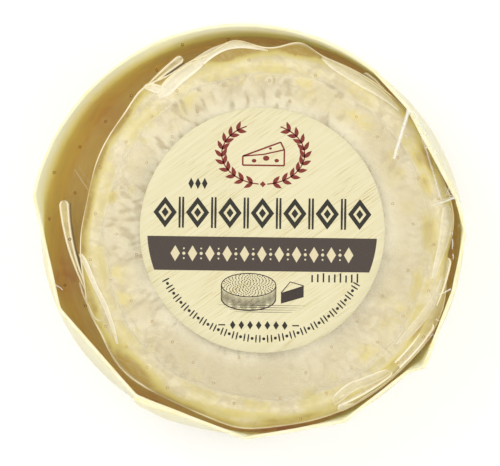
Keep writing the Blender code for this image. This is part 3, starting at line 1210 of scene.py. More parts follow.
@dataclass
class Tray(Part):
    """The thin board cup that the cheese is sold in."""

    form: TrayForm
    steps: int = 720
    wall_levels: int = 26
    floor_rings: int = 12
    bend_steps: int = 5
    lip_steps: int = 8
    ripple: float = 0.00009
    ripple_turns: float = 9.0
    ripple_rise: float = 90.0
    ragged: float = 0.00012
    ragged_turns: float = 26.0
    stains: tuple[Stain, ...] = (
        Stain(-0.0489, -0.0138, 0.0042, 1.0),
        Stain(-0.0505, -0.0075, 0.0026, 0.7),
        Stain(-0.0380, 0.0310, 0.0060, 0.35),
        Stain(0.0480, -0.0260, 0.0050, 0.6),
        Stain(0.0070, -0.0535, 0.0060, 0.7),
        Stain(-0.0240, -0.0450, 0.0040, 0.6),
    )

    def _ripple(self, ring: Array, degrees: Array) -> Array:
        """Moves a ring of the wall by the board's slight unevenness.

        Args:
            ring: The ring.
            degrees: The angles.

        Returns:
            The moved ring.
        """
        out = around(degrees)
        place = out * self.ripple_turns
        place[:, 2] = ring[:, 2] * self.ripple_rise
        return ring + out * (self.ripple * noise_at(place, Seed.BOARD))[:, None]

    def _rings(self, degrees: Array) -> tuple[Array, int]:
        """The tray's rings from the middle of its floor to the middle of its base.

        Args:
            degrees: The angles round each ring.

        Returns:
            The rings, and how many of them belong to the inner face.
        """
        form = self.form
        board, fillet, lip = form.board, form.foot_round, form.height - form.lip_round
        lead = form.lap_edge
        inner_foot = form.wall(degrees, board, -board - fillet, lead)
        centre = np.array([0.0, 0.0, board])
        shares = np.linspace(0.0, 1.0, self.floor_rings + 2)[1:-1]
        rings = [centre + (inner_foot - centre) * share for share in shares]
        for turn in np.linspace(0.0, 0.5 * math.pi, self.bend_steps):
            level = board + fillet * (1.0 - math.cos(turn))
            rings.append(form.wall(degrees, level, -board - fillet * (1.0 - math.sin(turn)), lead))
        for level in np.linspace(board + fillet, lip, self.wall_levels)[1:]:
            rings.append(self._ripple(form.wall(degrees, level, -board, lead), degrees))
        inner = len(rings)
        ragged = self.ragged * np.abs(noise_at(around(degrees) * self.ragged_turns, Seed.LIP))
        for turn in np.linspace(0.0, math.pi, self.lip_steps)[1:-1]:
            outset = -0.5 * board * (1.0 + math.cos(turn))
            ring = self._ripple(form.wall(degrees, lip, outset, lead), degrees)
            ring[:, 2] = lip + (form.lip_round - ragged) * math.sin(turn)
            rings.append(ring)
        for level in np.linspace(lip, fillet, self.wall_levels):
            rings.append(self._ripple(form.wall(degrees, level, 0.0, lead), degrees))
        for turn in np.linspace(0.0, 0.5 * math.pi, self.bend_steps)[1:]:
            level = fillet * (1.0 - math.sin(turn))
            rings.append(form.wall(degrees, level, -fillet * (1.0 - math.cos(turn)), lead))
        rings.extend([rings[-1] * share for share in shares[::-1]])
        return np.stack(rings), inner

    def build(self) -> Piece:
        """Makes the tray with its two faces of board.

        Returns:
            The piece.
        """
        degrees = evenly(self.steps)
        rings, inner = self._rings(degrees)
        grease = np.zeros(rings.shape[:2])
        for stain in self.stains:
            away = np.hypot(rings[..., 0] - stain.x, rings[..., 1] - stain.y)
            grease = np.maximum(grease, stain.depth * swell(away, stain.reach))
        shape = Shape("tray_board")
        shape.skin(rings, (0.0, 0.0, self.form.board), (0.0, 0.0, 0.0), grease=grease)
        quads = (len(rings) - 1) * self.steps
        outside = (inner - 1) * self.steps
        shape.finish_of[outside:quads] = [1] * (quads - outside)
        shape.finish_of[quads + 1 :: 2] = [1] * self.steps
        finishes = [BoardInside().material(self.effects), BoardOutside().material(self.effects)]
        return hand_over(shape.build(finishes), Slot.TRAY, "tray")


@dataclass
class CheeseWheel(Part):
    """The wheel: a flat dome, a rounded shoulder and a rind that wrinkles outwards."""

    centre: Point = (0.0047, -0.0015, 0.0)
    base: float = 0.0012
    radius: float = 0.0464
    height: float = 0.0274
    dome: float = 0.0006
    shoulder: float = 0.0045
    foot_shoulder: float = 0.0035
    steps: int = 640
    top_rings: int = 58
    shoulder_slopes: tuple[float, float, int] = (84.0, 6.0, 14)
    side_rings: int = 14
    foot_slopes: tuple[float, float, int] = (-6.0, -84.0, 10)
    lump_size: float = 0.009
    lump_rise: float = 0.00060
    lump_lift: float = 4.7
    wrinkle_rise: float = 0.00060
    wrinkle_turns: float = 5.5
    wrinkle_lift: float = 18.0
    wrinkle_start: float = 0.016
    relief_limit: float = 0.00040
    side_relief: float = 0.35
    crease_turns: float = 27.0
    crease_length: float = 0.0030
    crease_fade: Pair = (0.02, 0.42)
    crease_depth: float = 0.00030
    wander: float = 0.5
    wander_size: float = 0.004
    patch_size: float = 0.0065
    patch_fade: Pair = (0.35, 0.55)
    patch_side: Triple = (125.0, 0.62, 0.38)
    label_edge: float = 0.0325
    label_shift: Point = (-0.0014, 0.0019, 0.0)
    label_shade: float = 0.0030
    # Painted shade: how grey the creases and the relief's hollows are painted.
    vein_crease: float = 0.85
    vein_hollow: float = 0.24
    # Painted light on the rind beside the label's edge and over the shoulder.
    fresh_share: float = 0.95
    fresh_start: float = 0.0420
    fresh_width: float = 0.0030
    # Painted shade on the rind's sides away from the light: angle, spread and strength, and how much less
    # of it lies under the painted light.
    dull_sides: tuple[Triple, ...] = ((262.0, 32.0, 1.0), (4.0, 26.0, 0.5))
    dull_under_fresh: float = 0.5
    ripe_edge: Pair = (0.036, 0.007)
    ripe_side: Triple = (-10.0, 0.030, 0.008)
    ripe_side_share: float = 0.45

    def section(self) -> Array:
        """Rows of radius, height and the slope of the face, from the top centre to the base.

        Returns:
            The rows.
        """
        top = self.base + self.height
        rows = []
        for radius in np.linspace(0.0, self.radius - self.shoulder, self.top_rings)[1:]:
            rows.append((radius, top - self.dome * (radius / self.radius) ** 2, 90.0))
        edge = top - self.dome
        for slope in np.linspace(*self.shoulder_slopes):
            lean = around(np.array(slope))
            radius = self.radius - self.shoulder + self.shoulder * lean[0]
            rows.append((radius, edge - self.shoulder + self.shoulder * lean[1], slope))
        low = self.base + self.foot_shoulder
        for share in np.linspace(0.0, 1.0, self.side_rings)[1:-1]:
            bulge = GAP * math.sin(math.pi * share)
            level = edge - self.shoulder + (low - edge + self.shoulder) * share
            rows.append((self.radius + bulge, level, 0.0))
        for slope in np.linspace(*self.foot_slopes):
            lean = around(np.array(slope))
            radius = self.radius - self.foot_shoulder + self.foot_shoulder * lean[0]
            rows.append((radius, low + self.foot_shoulder * lean[1], slope))
        return np.array(rows)

    def _grown(self, radius: float) -> float:
        """How strong the wrinkles have grown at a distance from the axis."""
        return float(ease((radius - self.wrinkle_start) / self.wrinkle_start))

    def relief(self, degrees: Array, radius: float) -> Array:
        """The lumps and broad wrinkles of the rind at one distance from the axis.

        Args:
            degrees: The angles.
            radius: The distance from the axis.

        Returns:
            A height for each angle.
        """
        out = around(degrees)
        lift = np.array([0.0, 0.0, self.lump_lift])
        lumps = self.lump_rise * noise_at(out * (radius / self.lump_size) + lift, Seed.RIND)
        spoke = out * self.wrinkle_turns + np.array([0.0, 0.0, self.wrinkle_lift * radius])
        wrinkles = self.wrinkle_rise * self._grown(radius) * noise_at(spoke, Seed.RIND)
        return np.clip(lumps + wrinkles, -self.relief_limit, self.relief_limit)

    def creases(self, degrees: Array, radius: float) -> Array:
        """Short soft creases that run outwards, as 0 to 1 of their depth.

        Args:
            degrees: The angles.
            radius: The distance from the axis.

        Returns:
            A depth for each angle.
        """
        out = around(degrees)
        wander = self.wander * noise_at(out * (radius / self.wander_size), Seed.RIND_WANDER)
        place = out * self.crease_turns
        place[:, 2] = radius / self.crease_length
        start, width = self.crease_fade
        narrow = ease((noise_at(place + wander[:, None], Seed.RIND_CREASE) - start) / width)
        patch = noise_at(out * (radius / self.patch_size), Seed.RIND_PATCH)
        angle, least, gain = self.patch_side
        side = least + gain * np.cos(np.radians(angle_between(degrees, angle)))
        shown = ease((patch + self.patch_fade[0]) / self.patch_fade[1]) * side
        return narrow * shown * self._grown(radius)

    def point(self, degrees: Array, row: Array, offset: float, fine: float) -> Array:
        """One ring of the rind, or of a skin that lies this far off it.

        Args:
            degrees: The angles round it.
            row: Its radius, height and slope.
            offset: How far off the rind it lies.
            fine: The share of the creases that it shows.

        Returns:
            A point for each angle.
        """
        radius, height, slope = row
        lean_out, lean_up = math.cos(math.radians(slope)), math.sin(math.radians(slope))
        share = max(lean_up, self.side_relief * lean_out, 0.0)
        rise = self.relief(degrees, radius) * share + offset
        if fine:
            rise = rise - fine * self.crease_depth * share * self.creases(degrees, radius)
        return ring_at(self.centre, degrees, radius + rise * lean_out, height + rise * lean_up)

    def _paints(self, degrees: Array, rings: Array) -> dict[str, Array]:
        """What marks the rind.

        Args:
            degrees: The angles round each ring.
            rings: The rind's rings of points.

        Returns:
            Painted shade in the creases and hollows, ripe yellow, painted light beside the label and on
            the shoulder, and painted shade on the sides away from the light, each 0 to 1 at every point.
        """
        reach = self.section()[:, 0]
        # Painted shade: grey along the creases and in the low places of the relief.
        vein = np.stack([self.creases(degrees, radius) for radius in reach])
        hollow = np.stack([self.relief(degrees, radius) for radius in reach]) / self.relief_limit
        vein = np.clip(self.vein_crease * vein + self.vein_hollow * ease(-hollow), 0.0, 1.0)
        # Painted light: paler next to the label, against its shadow, and over the falling shoulder.
        label = np.array(self.centre) + np.array(self.label_shift)
        beyond = np.maximum(reach_from(label, rings) - self.label_edge, 0.0)
        outer = ease((reach - self.fresh_start) / self.fresh_width)[:, None]
        fresh = self.fresh_share * np.maximum(swell(beyond, self.label_shade), outer)
        # Painted shade on the sides away from the light, less where painted light lies.
        away = np.zeros(len(degrees))
        for side, spread, depth in self.dull_sides:
            away += depth * swell(angle_between(degrees, side), spread)
        dull = away[None, :] * (1.0 - self.dull_under_fresh * fresh)
        start, width = self.ripe_edge
        ripe = ease((reach - start) / width)[:, None] * np.ones(len(degrees))
        angle, start, width = self.ripe_side
        side = ease(0.5 + np.cos(np.radians(angle_between(degrees, angle))))
        ripe = ripe + self.ripe_side_share * side * ease((reach - start) / width)[:, None]
        return {"vein": vein, "ripe": np.clip(ripe, 0.0, 1.0), "fresh": fresh, "dull": dull}

    def build(self) -> Piece:
        """Makes the wheel with its bloom.

        Returns:
            The piece.
        """
        degrees = evenly(self.steps)
        rings = np.stack([self.point(degrees, row, 0.0, 1.0) for row in self.section()])
        top = np.array(self.centre) + np.array([0.0, 0.0, self.base + self.height])
        foot = np.array(self.centre) + np.array([0.0, 0.0, self.base])
        shape = Shape("cheese_rind")
        shape.skin(rings, top, foot, **self._paints(degrees, rings))
        return hand_over(shape.build([Rind().material(self.effects)]), Slot.CHEESE, "cheese")


@dataclass(frozen=True)
class Ruffle:
    """One place where the wrap's outline stands out, or in where the rise is less than nothing."""

    angle: float
    rise: float
    spread: float


@dataclass(frozen=True)
class Loop:
    """A flat upright loop of wrap from a root in the skirt to a rounded free end."""

    root: float
    root_radius: float
    tip: float
    tip_radius: float
    width: float
    low: float
    high: float
    root_share: float = 0.8


@dataclass(frozen=True)
class Pleat:
    """A doubled strip that lies on the wrap: stations of angle, radius and width."""

    stations: tuple[Triple, ...]
    milk: float = 0.8
    lift: float = 0.00030
    # Strength of the painted highlight along its edges.
    edge: float = 0.8


@dataclass(frozen=True)
class SoakAndShade:
    """A darker yellow patch on the wrap, partly butterfat soaking and partly painted shade: where it is
    and how far it spreads.
    """

    angle: float
    half_angle: float
    radius: float
    half_width: float
    depth: float


@dataclass
class Wrap(Part):
    """The thin sheet over the cheese, hanging clear of its side in ruffles, loops and pleats."""

    cheese: CheeseWheel
    form: TrayForm
    sheet: float = 0.0005
    mean_radius: float = 0.0502
    clearance: float = 0.0006
    steps: int = 600
    stretch_steps: int = 6
    last_slope: float = 58.0
    creases_shown: float = 0.5
    skirt: tuple[Pair, ...] = (
        (0.62, 0.0262), (1.00, 0.0232), (0.94, 0.0150), (0.66, 0.0080), (0.16, 0.0036),
    )
    ruffles: tuple[Ruffle, ...] = (
        Ruffle(80.5, 0.0024, 5.5), Ruffle(100.0, 0.0030, 6.5), Ruffle(113.0, 0.0010, 6.0),
        Ruffle(130.0, 0.0016, 7.0), Ruffle(168.0, -0.0012, 12.0), Ruffle(202.0, 0.0010, 6.0),
        Ruffle(222.0, 0.0022, 13.0), Ruffle(262.0, 0.0011, 9.0), Ruffle(331.0, 0.0008, 8.0),
        Ruffle(353.0, -0.0021, 9.0), Ruffle(21.0, -0.0011, 9.0),
    )
    loops: tuple[Loop, ...] = (
        Loop(200.0, 0.0498, 171.0, 0.0549, 0.0026, 0.0045, 0.0236, 0.25),
        Loop(131.0, 0.0510, 116.5, 0.0528, 0.0023, 0.0061, 0.0241, 0.4),
        Loop(45.0, 0.0499, 58.5, 0.0512, 0.0020, 0.0064, 0.0240, 0.4),
        Loop(338.0, 0.0482, 352.0, 0.0480, 0.0028, 0.0096, 0.0272, 0.35),
        Loop(315.5, 0.0484, 331.0, 0.0492, 0.0027, 0.0088, 0.0275, 0.85),
        Loop(294.0, 0.0476, 311.5, 0.0482, 0.0026, 0.0092, 0.0276, 1.0),
    )
    loop_curve: float = 1.25
    loop_steps: int = 26
    loop_end_steps: int = 8
    loop_end_half: float = 0.00006
    loop_fall: float = 0.0012
    loop_sag: float = 0.0009
    loop_hang: float = 0.80
    loop_drops: Triple = (0.00025, 0.0, 0.00008)
    loop_tuck: tuple[float, ...] = (1.0, 0.2)
    crest_width: float = 0.00034
    crest_limit: float = 0.45
    crest_places: tuple[float, ...] = (0.0, 0.0, 0.5, 1.0, 1.8)
    crest_brights: tuple[float, ...] = (0.0, 0.9, 1.0, 1.0, 0.0)
    pleats: tuple[Pleat, ...] = (
        Pleat((
            (185.0, 0.0500, 0.0010), (186.6, 0.0494, 0.0015), (189.0, 0.0487, 0.0015),
            (196.3, 0.0475, 0.0013), (203.3, 0.0468, 0.0012), (210.6, 0.0476, 0.0010),
            (215.4, 0.0489, 0.0006),
        ), 0.9, 0.0004),
        Pleat((
            (193.5, 0.0515, 0.0004), (196.9, 0.0514, 0.0005), (200.5, 0.0511, 0.0005),
            (204.6, 0.0508, 0.0005), (206.2, 0.0501, 0.0005), (206.8, 0.0493, 0.0003),
        )),
        Pleat((
            (127.8, 0.0472, 0.0014), (123.8, 0.0478, 0.0037), (119.4, 0.0486, 0.0037),
            (113.3, 0.0496, 0.0035), (107.6, 0.0511, 0.0027), (103.1, 0.0519, 0.0021),
            (98.9, 0.0519, 0.0020), (94.9, 0.0511, 0.0016), (89.8, 0.0496, 0.0004),
        ), 1.0, 0.0006),
        Pleat((
            (129.6, 0.0516, 0.0008), (128.2, 0.0506, 0.0030), (126.6, 0.0494, 0.0034),
            (124.6, 0.0480, 0.0012),
        ), 1.0, 0.0004),
        Pleat((
            (73.2, 0.0499, 0.0008), (69.3, 0.0491, 0.0021), (64.3, 0.0486, 0.0027),
            (58.2, 0.0484, 0.0027), (52.3, 0.0486, 0.0021), (47.4, 0.0487, 0.0013),
            (43.9, 0.0487, 0.0007),
        ), 0.55, 0.0003, 0.4),
        Pleat((
            (9.9, 0.0484, 0.0012), (8.9, 0.0482, 0.0024), (3.9, 0.0477, 0.0034),
            (-2.5, 0.0466, 0.0027), (-8.2, 0.0457, 0.0019), (-14.0, 0.0453, 0.0010),
        ), 0.55, 0.0003, 0.25),
        Pleat((
            (-13.0, 0.0478, 0.0008), (-19.4, 0.0473, 0.0018), (-25.8, 0.0465, 0.0024),
            (-33.8, 0.0454, 0.0022), (-39.8, 0.0446, 0.0010),
        ), 0.45, 0.0003, 0.15),
        Pleat((
            (291.6, 0.0474, 0.0012), (293.6, 0.0466, 0.0027), (298.8, 0.0456, 0.0027),
            (304.0, 0.0463, 0.0027), (309.1, 0.0473, 0.0024), (311.6, 0.0479, 0.0018),
            (312.6, 0.0482, 0.0005),
        ), 0.15, 0.0005, 0.45),
        Pleat((
            (329.3, 0.0507, 0.0004), (324.7, 0.0499, 0.0006), (320.1, 0.0496, 0.0006),
            (313.4, 0.0498, 0.0006), (307.8, 0.0500, 0.0006), (303.0, 0.0498, 0.0006),
            (296.8, 0.0502, 0.0007), (293.8, 0.0503, 0.0004),
        ), 1.0),
        Pleat((
            (297.5, 0.0499, 0.0004), (295.4, 0.0496, 0.0014), (293.4, 0.0494, 0.0022),
            (292.2, 0.0494, 0.0006),
        ), 1.0),
    )
    pleat_steps: int = 8
    pleat_across: tuple[float, ...] = (-1.0, -0.86, -0.5, 0.0, 0.5, 0.86, 1.0)
    pleat_edge: float = 0.8
    pleat_clear: float = 0.00012
    pleat_hang: float = 0.35
    # Darker yellow patches: butterfat soaking, and painted shade under the ruffles and beside the loops.
    oils: tuple[SoakAndShade, ...] = (
        SoakAndShade(100.0, 9.0, 0.0500, 0.0020, 1.7), SoakAndShade(81.0, 9.0, 0.0503, 0.0018, 1.3),
        SoakAndShade(225.5, 9.5, 0.0500, 0.0028, 1.6), SoakAndShade(199.8, 8.0, 0.0498, 0.0014, 1.0),
        SoakAndShade(25.7, 8.0, 0.0475, 0.0016, 0.9), SoakAndShade(328.0, 8.0, 0.0469, 0.0011, 0.9),
        SoakAndShade(314.7, 7.0, 0.0472, 0.0011, 0.9), SoakAndShade(296.0, 8.0, 0.0475, 0.0012, 0.7),
        SoakAndShade(262.0, 18.0, 0.0476, 0.0013, 0.55), SoakAndShade(165.0, 12.0, 0.0482, 0.0012, 0.5),
        SoakAndShade(352.0, 8.0, 0.0470, 0.0014, 0.5), SoakAndShade(18.0, 4.0, 0.0442, 0.0017, 0.8),
        SoakAndShade(27.5, 4.0, 0.0456, 0.0017, 0.7), SoakAndShade(3.0, 9.0, 0.0430, 0.0022, 0.6),
        SoakAndShade(342.0, 7.0, 0.0415, 0.0015, 0.5), SoakAndShade(285.0, 3.5, 0.0430, 0.0020, 0.35),
        SoakAndShade(278.0, 14.0, 0.0487, 0.0013, 0.8), SoakAndShade(165.5, 2.5, 0.0426, 0.0013, 0.7),
        SoakAndShade(160.8, 2.5, 0.0383, 0.0012, 0.5),
    )
    veil_start: float = 0.0424
    veil_end: float = 0.0448
    veil_wander: float = 0.0009
    veil_turns: float = 4.5
    veil_length: float = 0.006
    crest_travel: float = 2.8
    crest_spread: float = 0.24
    skirt_travel: float = 3.0
    # Painted light over the cheese's shoulder.
    shoulder_glow: float = 0.10
    shoulder_reach: float = 0.0462
    shoulder_width: float = 0.0010
    # Painted shade towards the wrap's outline, stronger on one side.
    tinge: float = 1.10
    tinge_width: float = 0.0036
    tinge_side: float = 140.0
    tinge_swing: float = 0.32
    ridge: float = 0.0006
    ridge_level: float = 0.0253
    ridge_out: float = 0.00005
    ridge_turns: float = 6.0
    ridge_bias: float = 0.75
    ridge_least: float = 0.45
    ridge_across: tuple[Triple, ...] = (
        (1.0, 0.0003, 0.0), (0.55, 0.0, 1.0), (0.0, 0.0004, 0.85),
    )
    ridge_faint: float = 0.25
    ridge_hang: float = 0.3

    def outline(self, degrees: Array) -> Array:
        """How far the wrap reaches from the cheese's axis.

        Args:
            degrees: The angles.

        Returns:
            A distance for each angle.
        """
        reach = np.full(degrees.shape, self.mean_radius)
        for ruffle in self.ruffles:
            reach += ruffle.rise * swell(angle_between(degrees, ruffle.angle), ruffle.spread)
        return reach

    def _room(self, degrees: Array, height: float) -> Array:
        """How far the wrap may reach before it meets the wall."""
        return self.form.room(degrees, height, self.cheese.centre) - self.clearance

    def _top_rows(self) -> Array:
        """The rows of the cheese's section that the wrap lies on."""
        section = self.cheese.section()
        return section[section[:, 2] >= self.last_slope][1:]

    def _hanging(self, degrees: Array, start: Array) -> Array:
        """The skirt's rings, from the rows before it to its hem.

        Args:
            degrees: The angles.
            start: The two rows before it.

        Returns:
            The rings.
        """
        nearest = self.cheese.radius + 2.0 * GAP + self.sheet
        knots = [*start]
        for outward, height in self.skirt:
            radius = nearest + (self.outline(degrees) - nearest) * outward
            radius = np.minimum(radius, self._room(degrees, height))
            knots.append(ring_at(self.cheese.centre, degrees, radius, height))
        return flowing(np.stack(knots), self.stretch_steps)

    def surface(self, degrees: Array) -> tuple[Array, Array, Array]:
        """The wrap's outer face.

        Args:
            degrees: The angles round each ring.

        Returns:
            Its rings, how much each point hangs, and the painted highlight along the skirt's crest with
            the painted light over the cheese's shoulder.
        """
        offset = GAP + self.sheet
        rows = self._top_rows()
        lying = [self.cheese.point(degrees, row, offset, self.creases_shown) for row in rows]
        hanging = self._hanging(degrees, np.stack(lying[-2:]))
        rings = np.concatenate([np.stack(lying[:-2]), hanging])
        before = np.full(len(lying) - 2, -math.inf)
        travel = np.concatenate([before, np.arange(len(hanging)) / self.stretch_steps])[:, None]
        reach = reach_from(self.cheese.centre, rings)
        place = np.tile(around(degrees) * self.veil_turns, (len(rings), 1, 1))
        place[..., 2] = reach / self.veil_length
        start = self.veil_start + self.veil_wander * noise_at(place, Seed.VEIL)
        hang = ease((reach - start) / (self.veil_end - self.veil_start))
        hang = np.where(travel > self.skirt_travel, 1.0, hang)
        # Painted light over the cheese's shoulder, and a painted highlight along the skirt's crest.
        glow = self.shoulder_glow * swell(reach - self.shoulder_reach, self.shoulder_width)
        glow = np.where(travel > self.skirt_travel, 0.0, glow)
        crest = np.maximum(swell(travel - self.crest_travel, self.crest_spread), glow)
        return rings, hang, crest

    def _oil(self, rings: Array) -> Array:
        """How far the wrap is painted darker yellow at each point: painted shade towards its outline, and
        patches of soaking and painted shade.

        Args:
            rings: The rings of points.

        Returns:
            A value for each point.
        """
        reach = rings - np.array(self.cheese.centre)
        degrees = np.degrees(np.arctan2(reach[..., 1], reach[..., 0]))
        radius = reach_from(self.cheese.centre, rings)
        # Painted shade: darker towards the outline, most on one side.
        swing = np.cos(np.radians(angle_between(degrees, self.tinge_side)))
        side = 1.0 - self.tinge_swing * (1.0 - swing)
        near_edge = ease((radius - self.outline(degrees) + self.tinge_width) / self.tinge_width)
        soaked = self.tinge * side * near_edge
        for oil in self.oils:
            near = swell(angle_between(degrees, oil.angle), oil.half_angle)
            soaked = np.maximum(soaked, oil.depth * near * swell(radius - oil.radius, oil.half_width))
        return soaked

    def _sheet(self, shape: Shape) -> None:
        """Adds the sheet itself, from the middle of its top to its tucked hem.

        Args:
            shape: The piece that it is part of.
        """
        degrees = evenly(self.steps)
        rings, hang, crest = self.surface(degrees)
        widest = len(rings) - self.stretch_steps * (len(self.skirt) - 2)
        tuck = ease((np.arange(len(rings)) - widest) / self.stretch_steps)
        tuck = tuck[:, None] * np.ones(self.steps)
        paints = {"hang": hang, "crest": crest, "tuck": tuck, "oil": self._oil(rings)}
        shape.skin(rings, rings[0].mean(axis=0), None, **paints)

    def _spine(self, loop: Loop) -> tuple[Array, Array]:
        """The line along a loop's middle, and half its width at each point of it.

        Args:
            loop: The loop.

        Returns:
            The points and the half widths.
        """
        share = np.linspace(0.0, 1.0, self.loop_steps)
        degrees = loop.root + (loop.tip - loop.root) * share
        room = [self._room(degrees, height) for height in (loop.low, loop.high)]
        middle = loop.root_radius + (loop.tip_radius - loop.root_radius) * share**self.loop_curve
        middle = np.minimum(middle, np.minimum(*room) - 0.5 * loop.width)
        centre = ring_at(self.cheese.centre, degrees, middle, 0.0)
        half = 0.5 * loop.width * (loop.root_share + (1.0 - loop.root_share) * share)
        along = centre[-1] - centre[-2]
        along = along / np.linalg.norm(along)
        turns = np.linspace(0.0, 0.5 * math.pi, self.loop_end_steps)[1:]
        cap = centre[-1] + along * (half[-1] * np.sin(turns))[:, None]
        rounded = np.maximum(half[-1] * np.cos(turns), self.loop_end_half)
        return np.concatenate([centre, cap]), np.concatenate([half, rounded])

    def _loop(self, shape: Shape, loop: Loop) -> None:
        """Adds one loop: two upright sides with a sagging web between their crests.

        Args:
            shape: The piece that it is part of.
            loop: The loop.
        """
        centre, half = self._spine(loop)
        side = np.gradient(centre, axis=0)
        side = np.stack([-side[:, 1], side[:, 0], 0.0 * side[:, 0]], axis=-1)
        side = side / np.linalg.norm(side, axis=1)[:, None]
        bead = np.minimum(self.crest_width, self.crest_limit * half)
        edge = half[:, None] - bead[:, None] * np.array(self.crest_places)
        across = np.column_stack([edge, 0.0 * half, -edge[:, ::-1]])
        shoulder = [loop.high - loop.low, *self.loop_drops, 0.5 * self.loop_sag]
        drop = np.array([*shoulder, self.loop_sag, *shoulder[::-1]])
        travelled = np.arange(len(centre)) / (len(centre) - 1.0)
        high = loop.high - self.loop_fall * travelled**2
        rows = centre[:, None, :] + side[:, None, :] * across[..., None]
        rows[..., 2] = np.maximum(high[:, None] - drop[None, :], loop.low)
        # Painted highlight along the loop's two crests.
        bright = [*self.crest_brights, 0.0, *self.crest_brights[::-1]]
        tuck = np.zeros(len(bright))
        tuck[: len(self.loop_tuck)] = self.loop_tuck
        tuck = np.maximum(tuck, tuck[::-1])
        crest, tuck = (np.tile(value, (len(centre), 1)) for value in (bright, tuck))
        shape.ribbon(rows[:, ::-1], crest=crest, hang=np.full(crest.shape, self.loop_hang), tuck=tuck)

    def _pleat(self, shape: Shape, pleat: Pleat) -> None:
        """Adds one doubled strip, arched a little off the sheet.

        Args:
            shape: The piece that it is part of.
            pleat: The strip.
        """
        path = flowing(np.array(pleat.stations), self.pleat_steps)
        rings, _, _ = self.surface(path[:, 0])
        reach = reach_from(self.cheese.centre, rings)
        past = int(np.argmax(reach.mean(axis=1)))
        columns = []
        for share in self.pleat_across:
            radius = path[:, 1] + 0.5 * path[:, 2] * share
            level = [np.interp(r, reach[:past, i], rings[:past, i, 2]) for i, r in enumerate(radius)]
            level = np.array(level) + self.pleat_clear + pleat.lift * (1.0 - share**2)
            columns.append(ring_at(self.cheese.centre, path[:, 0], radius, level))
        at_edge = np.abs(self.pleat_across) > self.pleat_edge
        # Painted highlight along the strip's edges.
        crest = np.tile(pleat.edge * at_edge, (len(path), 1))
        milk, hang = (np.full(crest.shape, value) for value in (pleat.milk, self.pleat_hang))
        shape.ribbon(np.stack(columns, axis=1), crest=crest, milk=milk, hang=hang)

    def _ridge(self, shape: Shape) -> None:
        """Adds the thin raised fold that runs along the wrap's outline, with an uneven painted highlight
        along it.

        Args:
            shape: The piece that it is part of.
        """
        degrees = np.linspace(0.0, 360.0, self.steps + 1)
        reach = np.minimum(self.outline(degrees), self._room(degrees, self.skirt[1][1]))
        bright = ease(self.ridge_bias + noise_at(around(degrees) * self.ridge_turns, Seed.RIDGE))
        width = self.ridge * (self.ridge_least + (1.0 - self.ridge_least) * bright)
        columns = []
        for share, drop, _ in self.ridge_across:
            radius = reach + self.ridge_out - width * share
            columns.append(ring_at(self.cheese.centre, degrees, radius, self.ridge_level - drop))
        # Painted highlight along the fold, of uneven strength.
        shown = self.ridge_faint + (1.0 - self.ridge_faint) * bright
        crest = np.array([share for _, _, share in self.ridge_across]) * shown[:, None]
        shape.ribbon(np.stack(columns, axis=1), crest=crest, hang=np.full(crest.shape, self.ridge_hang))

    def build(self) -> list[Piece]:
        """Makes the sheet, its loops and its pleats.

        Returns:
            The pieces.
        """
        finish = [WrapSheet().material(self.effects)]
        sheet, loops, pleats = (Shape(name) for name in ("wrap_sheet", "wrap_loops", "wrap_pleats"))
        self._sheet(sheet)
        for loop in self.loops:
            self._loop(loops, loop)
        for pleat in self.pleats:
            self._pleat(pleats, pleat)
        self._ridge(pleats)
        made = [hand_over(sheet.build(finish), Slot.WRAP, "wrap")]
        made += [hand_over(piece.build(finish), Slot.WRAP) for piece in (loops, pleats)]
        return made


@dataclass(frozen=True)
class Crease:
    """A raised fold in the film: its ends in plan, its width at each, in mm, and how milky it is, which
    also paints its glint.
    """

    x: float
    y: float
    end_x: float
    end_y: float
    width: float
    end_width: float
    milk: float


